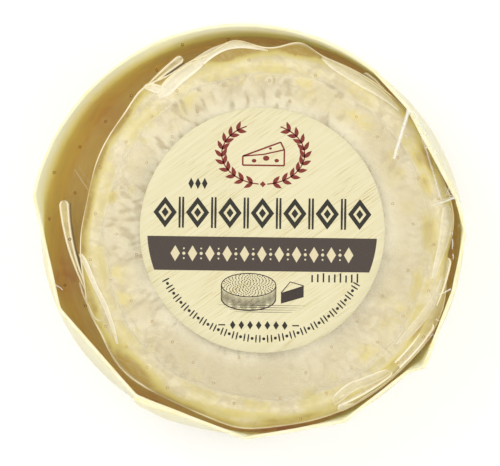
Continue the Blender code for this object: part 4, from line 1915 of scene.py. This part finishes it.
@dataclass
class Film(Part):
    """The clear film, drawn tight from under the label out over the rim and down the wall."""

    form: TrayForm
    cheese: CheeseWheel
    under: float = 0.0301
    film: float = 0.00035
    sag: float = 0.0007
    foot: float = 0.0016
    steps: int = 640
    middle_shares: tuple[float, float, int] = (0.05, 0.70, 8)
    outer_shares: tuple[float, float, int] = (0.73, 0.985, 20)
    rim_steps: int = 7
    wall_levels: int = 34
    wall_start: float = 0.6
    sag_steps: int = 12
    sag_knots: tuple[Pair, ...] = (
        (0.0, 0.0), (0.36, 0.0), (0.70, 0.0), (0.82, 0.45), (0.90, 1.0), (0.965, 0.25), (1.0, -0.10),
    )
    pull: float = 0.00010
    pull_turns: float = 11.0
    pull_start: Pair = (0.74, 0.2)
    pull_end: Pair = (0.95, 0.05)
    pucker: float = 0.00022
    pucker_height: float = 0.009
    pucker_turns: float = 20.0
    pucker_rise: float = 60.0
    # Milky crinkles with painted glints at the rim's corners: angle and strength.
    milky_corners: tuple[Pair, ...] = (
        (38.5, 0.5), (20.0, 0.3), (10.4, 0.7), (2.0, 0.5), (324.0, 0.6), (236.0, 0.3),
    )
    milky_spread: float = 4.0
    milky_share: float = 0.5
    milky_height: Pair = (0.0225, 0.004)
    milky_reach: Pair = (0.0520, 0.002)
    crinkle_turns: float = 420.0
    crinkle_width: float = 0.10
    hole_pitch: float = 0.0096
    hole_row: float = 0.0077
    hole_turn: float = 45.0
    hole_shift: Pair = (0.0012, 0.0034)
    hole_span: int = 8
    hole_radius: float = 0.00031
    hole_bead: float = 0.00011
    hole_lift: float = 0.3
    hole_flat: float = 0.35
    hole_steps: int = 14
    bead_steps: int = 6
    hole_reach: float = 0.96
    hole_clear: float = 0.0012
    # Pin holes nearer the cheese than this take the faint painted shade.
    oily_reach: float = 0.0500
    crease_steps: int = 12
    crease_rise: float = 0.00030
    crease_full: float = 0.0006
    crease_hem: float = 0.00003
    crease_wave: float = 0.00005
    crease_waves: float = 7.0
    crease_phase: float = 900.0
    crease_hem_milk: float = 0.35
    # Each row is a Crease; its milk paints the fold's whiteness and its glint.
    crease_rows: tuple[tuple[float, ...], ...] = (
        (42.1, 32.4, 38.3, 19.4, 1.05, 0.9, 0.95), (45.3, 26.1, 48.0, 17.8, 0.5, 0.6, 0.4),
        (48.0, 17.8, 50.6, 8.9, 0.6, 0.8, 0.5), (54.4, 9.0, 48.3, 6.9, 0.7, 0.2, 0.9),
        (54.1, 9.2, 48.1, 7.8, 0.3, 0.1, 0.7), (54.3, 9.2, 52.8, 11.2, 0.3, 0.1, 0.75),
        (54.3, 9.4, 52.0, 10.0, 0.25, 0.1, 0.65), (43.6, 31.8, 44.6, 30.1, 0.6, 0.3, 0.85),
        (42.5, 32.0, 43.7, 31.4, 0.7, 0.4, 0.85), (44.1, 30.2, 44.9, 29.4, 0.5, 0.2, 0.8),
        (45.2, 28.5, 46.2, 27.9, 0.4, 0.2, 0.8), (46.2, 26.2, 45.5, 25.0, 0.3, 0.1, 0.6),
        (50.7, 8.0, 49.5, 5.8, 0.3, 0.1, 0.8), (52.9, 11.8, 51.8, 9.5, 0.3, 0.1, 0.7),
        (52.5, 11.1, 53.6, 8.7, 0.25, 0.1, 0.7), (51.3, 7.6, 48.9, 7.6, 0.25, 0.1, 0.7),
        (44.6, 28.8, 45.3, 27.9, 0.7, 0.3, 0.9), (46.4, 26.7, 47.0, 25.5, 0.5, 0.3, 0.9),
        (46.4, 22.1, 47.8, 22.7, 0.5, 0.2, 0.8), (48.7, 20.8, 49.7, 21.6, 0.45, 0.2, 0.8),
        (41.4, 25.7, 42.0, 24.5, 0.3, 0.1, 0.6), (40.0, 29.5, 40.8, 30.2, 0.3, 0.1, 0.6),
        (53.8, -1.9, 53.8, -4.7, 0.45, 0.2, 0.85), (53.6, -0.1, 53.9, -0.9, 0.3, 0.2, 0.7),
        (53.9, -5.9, 54.0, -7.4, 0.4, 0.2, 0.8), (53.4, -15.2, 50.2, -16.7, 0.5, 0.4, 0.75),
        (49.3, -23.2, 50.5, -23.7, 0.35, 0.15, 0.7), (47.8, -27.7, 49.4, -27.1, 0.3, 0.1, 0.6),
        (-51.4, -14.0, -49.6, -15.4, 0.35, 0.25, 0.8), (-46.4, 16.4, -42.9, 11.1, 0.4, 0.3, 0.22),
        (-45.3, 17.2, -42.4, 12.7, 0.3, 0.3, 0.15), (-3.1, -54.2, -0.7, -53.8, 0.5, 0.2, 0.8),
    )

    def _sag_at(self, share: Array) -> Array:
        """How far the film has sunk at each share of the way out to the rim."""
        knots = flowing(np.array(self.sag_knots), self.sag_steps)
        return self.sag * np.interp(share, knots[:, 0], knots[:, 1])

    def _level(self, degrees: Array, share: Array) -> Array:
        """The height of the film's underside, with the faint drag lines near the rim.

        Args:
            degrees: The angles.
            share: The shares of the way out to the rim.

        Returns:
            A height for each angle.
        """
        pull = noise_at(around(degrees) * self.pull_turns, Seed.FILM_PULL)
        (start, rise), (end, fall) = self.pull_start, self.pull_end
        pull = pull * ease((share - start) / rise) * (1.0 - ease((share - end) / fall))
        return self.under - self._sag_at(share) + self.pull * pull

    def _rings(self, degrees: Array, offset: float) -> Array:
        """One face of the film, this far over its underside.

        Args:
            degrees: The angles.
            offset: How far over the underside it lies.

        Returns:
            The rings.
        """
        form = self.form
        rings = []
        inner = form.rim_radius(degrees)
        for share in [*np.linspace(*self.middle_shares), *np.linspace(*self.outer_shares)]:
            level = self._level(degrees, np.full(degrees.shape, share)) + offset
            rings.append(ring_at(form.rim_centre, degrees, inner * share, level))
        reach = 0.5 * form.board + GAP + offset
        for turn in np.linspace(0.0, 0.5 * math.pi, self.rim_steps):
            outset = -0.5 * form.board + reach * math.sin(turn)
            ring = form.wall(degrees, form.height, 0.0, form.film_lead)
            ring = ring + around(degrees) * outset
            ring[:, 2] = form.height - 0.5 * form.board + reach * math.cos(turn)
            rings.append(ring)
        highest = form.height - self.wall_start * form.board
        for level in np.linspace(highest, self.foot, self.wall_levels):
            ring = form.wall(degrees, level, GAP + offset, form.film_lead)
            gather = ease(1.0 - (level - self.foot) / self.pucker_height)
            place = around(degrees) * self.pucker_turns
            place[:, 2] = level * self.pucker_rise
            fold = self.pucker * gather * np.abs(noise_at(place, Seed.FILM_FOLD))
            rings.append(ring + around(degrees) * fold[:, None])
        return np.stack(rings)

    def _milk(self, rings: Array, degrees: Array) -> Array:
        """Where the film's own folds are milky, which also paints their glints: crinkles at the rim's
        tight corners.

        Args:
            rings: The rings of points.
            degrees: The angles.

        Returns:
            A value for each point.
        """
        near = np.zeros(degrees.shape)
        for angle, strength in self.milky_corners:
            near = np.maximum(near, strength * swell(angle_between(degrees, angle), self.milky_spread))
        crinkle = np.abs(noise_at(rings * self.crinkle_turns, Seed.FILM_CRINKLE))
        crinkle = 1.0 - ease(crinkle / self.crinkle_width)
        (height, rise), (start, width) = self.milky_height, self.milky_reach
        rim = ease((rings[..., 2] - height) / rise)
        outer = ease((reach_from(self.form.rim_centre, rings) - start) / width)
        return self.milky_share * crinkle * near * rim * outer

    def _surface_level(self, place: Array) -> Array:
        """The height of the film's top face at places in plan.

        Args:
            place: The places.

        Returns:
            A height for each place.
        """
        reach = place - np.array(self.form.rim_centre)
        degrees = np.degrees(np.arctan2(reach[:, 1], reach[:, 0])) % 360.0
        share = reach_from(self.form.rim_centre, place) / self.form.rim_radius(degrees)
        return self._level(degrees, np.minimum(share, 1.0)) + self.film

    def _crease(self, shape: Shape, crease: Crease) -> None:
        """Adds one fold as a low tent along its line.

        Args:
            shape: The piece that it is part of.
            crease: The fold.
        """
        share = np.linspace(0.0, 1.0, self.crease_steps)[:, None]
        start = np.array([crease.x, crease.y, 0.0]) * MM
        along = np.array([crease.end_x, crease.end_y, 0.0]) * MM - start
        aside = np.array([-along[1], along[0], 0.0]) / np.linalg.norm(along)
        wave = self.crease_wave * np.sin(self.crease_waves * share + start[0] * self.crease_phase)
        middle = start + along * share + aside * wave
        width = (crease.width + (crease.end_width - crease.width) * share) * MM
        rise = self.crease_rise * np.minimum(1.0, width[:, 0] / self.crease_full)
        columns = []
        for across, lift in ((-0.5, -self.crease_hem), (0.0, rise), (0.5, -self.crease_hem)):
            column = middle + aside * width * across
            column[:, 2] = self._surface_level(column) + lift
            columns.append(column)
        hem = self.crease_hem_milk
        milk = np.tile(np.array([hem, 1.0, hem]) * crease.milk, (len(share), 1))
        shape.ribbon(np.stack(columns, axis=1), milk=milk)

    def _hole(self, shape: Shape, x: float, y: float) -> None:
        """Adds one pin hole as a small beaded ring with painted shade: dark over the tray, faint over the
        cheese.

        Args:
            shape: The piece that it is part of.
            x: Its place across.
            y: Its place up.
        """
        middle = np.array([x, y, 0.0])
        level = self._surface_level(middle[None, :])[0] + self.hole_lift * self.hole_bead
        turns = np.arange(self.hole_steps) * 2.0 * math.pi / self.hole_steps
        out = np.stack([np.cos(turns), np.sin(turns)], axis=-1)[:, None, :]
        tilt = np.arange(self.bead_steps) * 2.0 * math.pi / self.bead_steps
        reach = (self.hole_radius + self.hole_bead * np.cos(tilt))[None, :, None]
        rise = self.hole_flat * self.hole_bead * np.sin(tilt)
        ring = np.empty((self.hole_steps, self.bead_steps, 3))
        ring[..., :2] = middle[:2] + out * reach
        ring[..., 2] = level + rise
        index = np.arange(self.hole_steps * self.bead_steps).reshape(ring.shape[:2])
        after = np.roll(index, -1, axis=0)
        faces = np.stack([index, after, np.roll(after, -1, axis=1), np.roll(index, -1, axis=1)], -1)
        # Painted shade: faint over the cheese, dark elsewhere.
        faint = bool(reach_from(self.cheese.centre, middle) < self.oily_reach)
        shape.add(ring.reshape(-1, 3), faces.reshape(-1, 4).tolist(), int(faint))

    def _holes(self, shape: Shape, label: "Label") -> None:
        """Adds the pin holes on their slanting grid, outside the label.

        Args:
            shape: The piece that it is part of.
            label: The label.
        """
        first, second = around(np.array([self.hole_turn, self.hole_turn + 90.0]))
        span = range(-self.hole_span, self.hole_span + 1)
        for i, j in itertools.product(span, span):
            place = first * (i * self.hole_pitch) + second * (j * self.hole_row)
            place[:2] += self.hole_shift
            away = place - np.array(self.form.rim_centre)
            degrees = np.degrees(np.arctan2(away[1:2], away[:1])) % 360.0
            limit = self.hole_reach * self.form.rim_radius(degrees)[0]
            clear = reach_from(label.centre, place) > label.radius + self.hole_clear
            if clear and reach_from(self.form.rim_centre, place) < limit:
                self._hole(shape, float(place[0]), float(place[1]))

    def build(self, label: "Label") -> list[Piece]:
        """Makes the film, its folds and its pin holes, clear of the label.

        Args:
            label: The label.

        Returns:
            The pieces.
        """
        degrees = evenly(self.steps)
        rings = self._rings(degrees, self.film)
        top = np.array(self.form.rim_centre) + np.array([0.0, 0.0, self.under + self.film])
        sheet = Shape("film_sheet")
        sheet.skin(rings, top, None, milk=self._milk(rings, degrees))
        finish = ClearFilm().material(self.effects)
        made = [hand_over(sheet.build([finish]), Slot.FILM, "film")]
        folds = Shape("film_creases")
        for row in self.crease_rows:
            self._crease(folds, Crease(*row))
        made.append(hand_over(folds.build([finish]), Slot.FILM))
        holes = Shape("film_pin_holes")
        self._holes(holes, label)
        # Painted shade for the pin holes, dark and faint.
        oils = [ink.material(self.effects) for ink in (PIN_SHADE_DARK, PIN_SHADE_FAINT)]
        made.append(hand_over(holes.build(oils), Slot.FILM))
        return made


class Drawing:
    """Flat outlines on the label, in millimetres from its centre."""

    def __init__(self) -> None:
        """Starts an empty drawing."""
        self.outlines: list[Array] = []

    def fill(self, outline: Sequence[Point]) -> None:
        """Adds a filled outline, counter-clockwise."""
        self.outlines.append(np.array(outline, dtype=float))

    def ellipse(self, x: float, y: float, wide: float, high: float, steps: int = 20) -> None:
        """Adds a filled ellipse with these half sizes."""
        turns = np.arange(steps) * 2.0 * math.pi / steps
        self.fill(np.column_stack([x + wide * np.cos(turns), y + high * np.sin(turns)]))

    def lozenge(self, x: float, y: float, wide: float, high: float) -> None:
        """Adds a filled lozenge with these half sizes."""
        self.fill([(x + wide, y), (x, y + high), (x - wide, y), (x, y - high)])

    def stroke(self, path: Sequence[Point], width: float, taper: float = 1.0) -> None:
        """Adds a line.

        Args:
            path: Its points.
            width: Its width in the middle.
            taper: The share of the width that its ends keep.
        """
        line = np.array(path, dtype=float)
        along = np.gradient(line, axis=0)
        aside = np.column_stack([-along[:, 1], along[:, 0]])
        aside = aside / np.linalg.norm(aside, axis=1)[:, None]
        share = np.linspace(0.0, math.pi, len(line))
        half = 0.5 * width * (taper + (1.0 - taper) * np.sin(share))[:, None]
        self.fill(np.concatenate([line - aside * half, (line + aside * half)[::-1]]))

    def arc(self, oval: Sequence[float], start: float, end: float, width: float) -> None:
        """Adds a curved line along an ellipse.

        Args:
            oval: The ellipse's centre, across and up, and its half width and half height.
            start: The angle where the line starts.
            end: The angle where it ends.
            width: The line's width.
        """
        x, y, wide, high = oval
        turns = np.radians(np.linspace(start, end, max(6, int(abs(end - start) / 7.0))))
        path = np.column_stack([x + wide * np.cos(turns), y + high * np.sin(turns)])
        self.stroke(path, width)

    def leaf(self, x: float, y: float, length: float, width: float, turn: float) -> None:
        """Adds a pointed leaf from its stalk at x and y, turned this many degrees.

        Args:
            x: Its place across.
            y: Its place up.
            length: How long it is.
            width: How wide it is.
            turn: Which way it points.
        """
        share = np.linspace(0.0, 1.0, 9)
        bow = 0.5 * width * np.sin(math.pi * share**0.8)
        outline = np.concatenate(
            [np.column_stack([share * length, -bow]), np.column_stack([share * length, bow])[-2:0:-1]]
        )
        c, s = math.cos(math.radians(turn)), math.sin(math.radians(turn))
        self.fill(outline @ np.array([[c, s], [-s, c]]) + np.array([x, y]))


@dataclass
class Label(Part):
    """The round paper label and its plain ornament, printed as thin fields of ink."""

    centre: Point = (0.0033, 0.0004, 0.0)
    radius: float = 0.0325
    turn: float = -0.75
    low: float = 0.03052
    top: float = 0.03098
    ink: float = 0.00003
    sunk: float = 0.00001
    edge: float = 0.00008
    steps: int = 240
    band_top: float = -1.85
    band_low: float = -10.85
    band_reach: float = 30.5
    band_pitch: float = 4.6
    title_middle: float = 4.5
    title_half: float = 4.1
    title_pitch: float = 8.6
    title_wide: float = 3.1
    wreath: Point = (0.0, 20.2, 11.0, 8.0)
    wheel: Point = (-3.4, -14.6, 7.2, 3.1)
    wheel_thick: float = 3.6
    dots: int = 210
    foot: float = -25.2

    def _paper(self) -> Piece:
        """The disc, with a faintly rounded edge.

        Returns:
            The piece.
        """
        degrees = evenly(self.steps)
        edge = self.edge
        levels = (
            (0.30, self.top), (0.60, self.top), (0.90, self.top), (1.0 - edge / self.radius, self.top),
            (1.0, self.top - edge), (1.0, self.low + edge), (1.0 - edge / self.radius, self.low),
            (0.5, self.low),
        )
        rings = []
        for share, level in levels:
            rings.append(ring_at(self.centre, degrees, self.radius * share, level))
        shape = Shape("label_paper")
        top = np.array(self.centre) + np.array([0.0, 0.0, self.top])
        under = np.array(self.centre) + np.array([0.0, 0.0, self.low])
        shape.skin(np.stack(rings), top, under)
        return hand_over(shape.build([LabelPaper().material(self.effects)]), Slot.LABEL, "label")

    def _print(self, name: str, drawing: Drawing, ink: Ink, layer: int) -> Piece:
        """Lays a drawing on the paper.

        Args:
            name: The piece's name.
            drawing: What is printed.
            ink: The ink's finish.
            layer: 0 on the paper, 1 on another ink.

        Returns:
            The new piece.
        """
        c, s = math.cos(math.radians(self.turn)), math.sin(math.radians(self.turn))
        turned = np.array([[c, s], [-s, c]])
        low = self.top + layer * self.ink - self.sunk
        shape = Shape(name)
        for outline in drawing.outlines:
            place = outline * MM @ turned + np.array(self.centre[:2])
            shape.plate(place, low, low + self.ink)
        return hand_over(shape.build([ink.material(self.effects)]), Slot.LABEL)

    def _band(self) -> Drawing:
        """The broad dark band, whose ends follow the label's edge.

        Returns:
            The drawing.
        """
        drawing = Drawing()
        ends = [math.asin(level / self.band_reach) for level in (self.band_low, self.band_top)]
        turns = np.linspace(ends[0], ends[1], 9)
        right = np.column_stack([np.cos(turns), np.sin(turns)]) * self.band_reach
        left = right[::-1] * np.array([-1.0, 1.0])
        drawing.fill(np.concatenate([right, left]))
        return drawing

    def _band_marks(self) -> Drawing:
        """A chain of lozenges and beads reversed out of the band.

        Returns:
            The drawing.
        """
        drawing = Drawing()
        middle = 0.5 * (self.band_top + self.band_low)
        pitch = self.band_pitch
        for i in range(-5, 6):
            drawing.lozenge(i * pitch, middle, 1.25, 2.1)
            if i < 5:
                drawing.ellipse((i + 0.5) * pitch, middle, 0.42, 0.42, 12)
                drawing.ellipse((i + 0.5) * pitch, middle + 1.3, 0.24, 0.24, 10)
                drawing.ellipse((i + 0.5) * pitch, middle - 1.3, 0.24, 0.24, 10)
        return drawing

    def _title(self) -> Drawing:
        """A bold frieze of hollow lozenges between pairs of bars.

        Returns:
            The drawing.
        """
        drawing = Drawing()
        pitch, half, wide = self.title_pitch, self.title_half, self.title_wide
        y = self.title_middle
        for i in range(-3, 4):
            x = i * pitch
            outer = np.array([(wide, 0.0), (0.0, half), (-wide, 0.0), (0.0, -half)])
            inner = outer * 0.56
            for a in range(4):
                b = (a + 1) % 4
                corners = np.array([outer[a], outer[b], inner[b], inner[a]])
                drawing.fill(corners + np.array([x, y]))
            drawing.lozenge(x, y, 0.95, 1.3)
            if i < 3:
                for side in (-0.45, 0.45):
                    bar = x + 0.5 * pitch + side
                    drawing.stroke([(bar, y - half), (bar, y), (bar, y + half)], 0.62, 0.8)
        for x in (-19.0, -17.2, -15.4):
            drawing.lozenge(x, 12.2, 0.75, 1.5)
        return drawing

    def _emblem(self) -> Drawing:
        """A wreath of leaves round a wedge of cheese.

        Returns:
            The drawing.
        """
        drawing = Drawing()
        x, y, wide, high = self.wreath
        for side in (-1.0, 1.0):
            for degrees in np.arange(-76.0, 64.0, 14.0):
                turn = math.radians(degrees)
                stalk_x = x + side * wide * math.cos(turn)
                stalk_y = y + high * math.sin(turn)
                heading = math.degrees(math.atan2(high * math.cos(turn), -wide * math.sin(turn)))
                for lean in (-38.0, 38.0):
                    angle = heading + lean
                    angle = angle if side > 0.0 else 180.0 - angle
                    drawing.leaf(stalk_x, stalk_y, 2.7, 1.1, angle)
            start, end = (-84.0, 66.0) if side > 0.0 else (264.0, 114.0)
            drawing.arc(self.wreath, start, end, 0.32)
        drawing.lozenge(x, y - high, 0.8, 0.8)
        wedge = ((-5.4, -1.2), (4.6, 2.6), (5.6, 0.6), (5.6, -3.6), (-5.4, -3.6))
        outline = [(x + px, y + 0.6 + py) for px, py in wedge]
        for first, second in zip(outline, outline[1:] + outline[:1]):
            middle = tuple(0.5 * (a + b) for a, b in zip(first, second))
            drawing.stroke([first, middle, second], 0.42)
        drawing.stroke([(x - 5.4, y - 0.6), (x, y - 0.1), (x + 5.6, y + 1.2)], 0.36)
        for px, py, size in ((-2.4, -1.9, 0.62), (0.8, -1.2, 0.85), (3.6, -1.8, 0.6), (1.9, 1.4, 0.4)):
            drawing.ellipse(x + px, y + 0.1 + py, size, 0.8 * size, 14)
        return drawing

    def _engraving(self) -> Drawing:
        """A wheel and a cut piece, drawn in fine lines and dots like an engraving.

        Returns:
            The drawing.
        """
        drawing = Drawing()
        (x, y, wide, high), thick = self.wheel, self.wheel_thick
        drawing.arc(self.wheel, 0.0, 360.0, 0.26)
        drawing.arc((x, y - thick, wide, high), 180.0, 360.0, 0.30)
        for edge in (x - wide, x + wide):
            drawing.stroke([(edge, y), (edge, y - 0.5 * thick), (edge, y - thick)], 0.28)
        for share in np.linspace(-0.95, 0.95, 44):
            drop = high * math.sqrt(1.0 - share**2)
            start_y = y - drop - 0.25
            depth = thick * (0.62 + 0.32 * abs(math.sin(9.0 * share)))
            path = [(x + wide * share, start_y - part * depth) for part in (0.0, 0.5, 1.0)]
            drawing.stroke(path, 0.20, 0.5)
        for i in range(self.dots):
            reach = math.sqrt((i + 0.5) / self.dots) * 0.95
            turn = i * math.pi * (3.0 - math.sqrt(5.0))
            dot_x, dot_y = x + wide * reach * math.cos(turn), y + high * reach * math.sin(turn)
            drawing.ellipse(dot_x, dot_y, 0.19, 0.13, 7)
        drawing.fill([(5.2, -19.4), (11.2, -17.6), (11.2, -14.8), (5.2, -16.8)])
        drawing.stroke([(5.2, -16.6), (7.6, -13.6), (11.2, -14.6)], 0.26)
        drawing.stroke([(5.2, -16.7), (8.2, -15.7), (11.2, -14.7)], 0.26)
        for i, y_line in enumerate((-19.9, -20.5, -21.1, -21.7)):
            drawing.stroke([(-11.5 + 1.6 * i, y_line), (0.0, y_line), (11.6 - 1.1 * i, y_line)], 0.16, 0.3)
        return drawing

    def _small_marks(self) -> Drawing:
        """A row of lozenges at the foot, ticks at the right and a milled border below.

        Returns:
            The drawing.
        """
        drawing = Drawing()
        for i in range(-3, 4):
            drawing.lozenge(-0.6 + 2.3 * i, self.foot, 0.75, 1.15)
        for x in (-10.4, 9.2):
            drawing.stroke([(x + dx, self.foot) for dx in (-0.9, 0.0, 0.9)], 0.35)
        for i in range(9):
            x = 13.4 + 1.5 * i
            drawing.stroke([(x, -13.6), (x, -12.6), (x, -11.7 + 0.25 * (i % 3))], 0.42)
        for i, degrees in enumerate(np.linspace(208.0, 331.0, 61)):
            turn = math.radians(degrees)
            out = np.array([math.cos(turn), math.sin(turn)])
            if i % 3 == 1:
                drawing.ellipse(*(out * 28.8), 0.42, 0.42, 10)
            else:
                drawing.stroke([out * 27.8, out * 28.8, out * 29.8], 0.42, 0.7)
        return drawing

    def build(self) -> list[Piece]:
        """Makes the paper and each of its inks.

        Returns:
            The pieces.
        """
        made = [self._paper()]
        prints = (
            ("print_band", self._band(), INK_BAND, 0),
            ("print_band_marks", self._band_marks(), INK_REVERSED, 1),
            ("print_title", self._title(), INK_TITLE, 0),
            ("print_emblem", self._emblem(), INK_EMBLEM, 0),
            ("print_engraving", self._engraving(), INK_ENGRAVED, 0),
            ("print_small_marks", self._small_marks(), INK_TITLE, 0),
        )
        for name, drawing, ink, layer in prints:
            made.append(self._print(name, drawing, ink, layer))
        return made


@dataclass(frozen=True)
class MattFloor(Finish):
    """A plain pale floor that glows softly."""

    name: str = "floor_matt"
    pale: Paint = tone(200, 200, 199)
    paler: Paint = tone(204, 204, 203)
    mottle: Cloud = Cloud(6.0, 0.3, 0.7)
    mottle_share: float = 0.4
    roughness: float = 0.9
    glow: float = 0.70

    def sockets(self, graph: Graph) -> dict[str, Any]:
        """What feeds the shader's sockets.

        Args:
            graph: The material's graph.

        Returns:
            What feeds each one.
        """
        colour = graph.mix(graph.lay(self.mottle, self.mottle_share), self.pale, self.paler)
        given = dict(Base_Color=colour, Emission_Color=colour, Roughness=self.roughness)
        return {**given, "Emission Strength": self.glow}


@dataclass
class Studio(Part):
    """A pale floor, soft light from all round, and the camera straight above."""

    view_centre: Pair = (0.00006, -0.00033)
    view_height: float = 0.0300
    view_width: float = 0.13265
    distance: float = 1.6
    sensor: float = 36.0
    floor_half: float = 4.0
    floor_low: float = -0.02
    floor_top: float = -0.00005
    sky: float = 0.92
    horizon: float = 0.62
    sight: float = 20.0
    lights: tuple[tuple[str, Point, float, float], ...] = (
        ("softbox_left", (-0.75, 0.55, 0.85), 0.8, 5.0),
        ("softbox_right", (0.80, 0.15, 0.60), 0.4, 1.8),
        ("softbox_front", (0.10, -0.90, 0.70), 0.5, 1.0),
    )

    def _camera(self) -> None:
        """A long lens that frames the pack as the photograph does."""
        data = bpy.data.cameras.new("camera")
        data.sensor_width = self.sensor
        data.lens = self.sensor * self.distance / self.view_width
        camera = bpy.data.objects.new("camera", data)
        camera.location = (*self.view_centre, self.view_height + self.distance)
        data.clip_end = self.sight
        bpy.context.scene.collection.objects.link(camera)
        bpy.context.scene.camera = camera

    def _floor(self) -> None:
        """A plain matt floor, level with the pack's foot and lit from beneath like a light table."""
        half = self.floor_half
        shape = Shape("floor")
        outline = np.array([(-half, -half), (half, -half), (half, half), (-half, half)])
        shape.plate(outline, self.floor_low, self.floor_top)
        shape.build([MattFloor().material(self.effects)])

    def _light(self, name: str, place: Point, size: float, power: float) -> None:
        """One square soft light aimed at the pack.

        Args:
            name: Its name.
            place: Where it hangs.
            size: The length of its side.
            power: Its power in watts.
        """
        data = bpy.data.lights.new(name, "AREA")
        data.size = size
        data.energy = power
        light = bpy.data.objects.new(name, data)
        light.location = place
        light.rotation_euler = Vector(place).to_track_quat("Z", "Y").to_euler()
        bpy.context.scene.collection.objects.link(light)

    def _sky(self) -> None:
        """Even light from all round, a little stronger from low down."""
        world = bpy.data.worlds.new("studio")
        bpy.context.scene.world = world
        world.use_nodes = True
        graph = Graph(world.node_tree)
        place = graph.node("ShaderNodeTexCoord").outputs["Generated"]
        rise = graph.node("ShaderNodeSeparateXYZ", {"Vector": place}).outputs["Z"]
        level = graph.spread(rise, 0.0, 0.9, self.horizon, self.sky)
        shade = graph.node("ShaderNodeCombineColor", {0: level, 1: level, 2: level})
        back = world.node_tree.nodes["Background"]
        graph.tree.links.new(shade.outputs[0], back.inputs["Color"])

    def build(self) -> None:
        """Sets the floor, the lights and the camera."""
        bpy.context.scene.view_settings.view_transform = "Standard"
        self._camera()
        self._floor()
        for light in self.lights:
            self._light(*light)
        self._sky()


def main() -> None:
    """Builds the pack from the inside out, then the studio."""
    logging.basicConfig(level=logging.INFO, format="%(name)s: %(message)s")
    effects = Effects()
    form = TrayForm()
    Tray(effects, form).build()
    cheese = CheeseWheel(effects)
    cheese.build()
    Wrap(effects, cheese, form).build()
    label = Label(effects)
    Film(effects, form, cheese).build(label)
    label.build()
    Studio(effects).build()


if __name__ == "__main__":
    main()
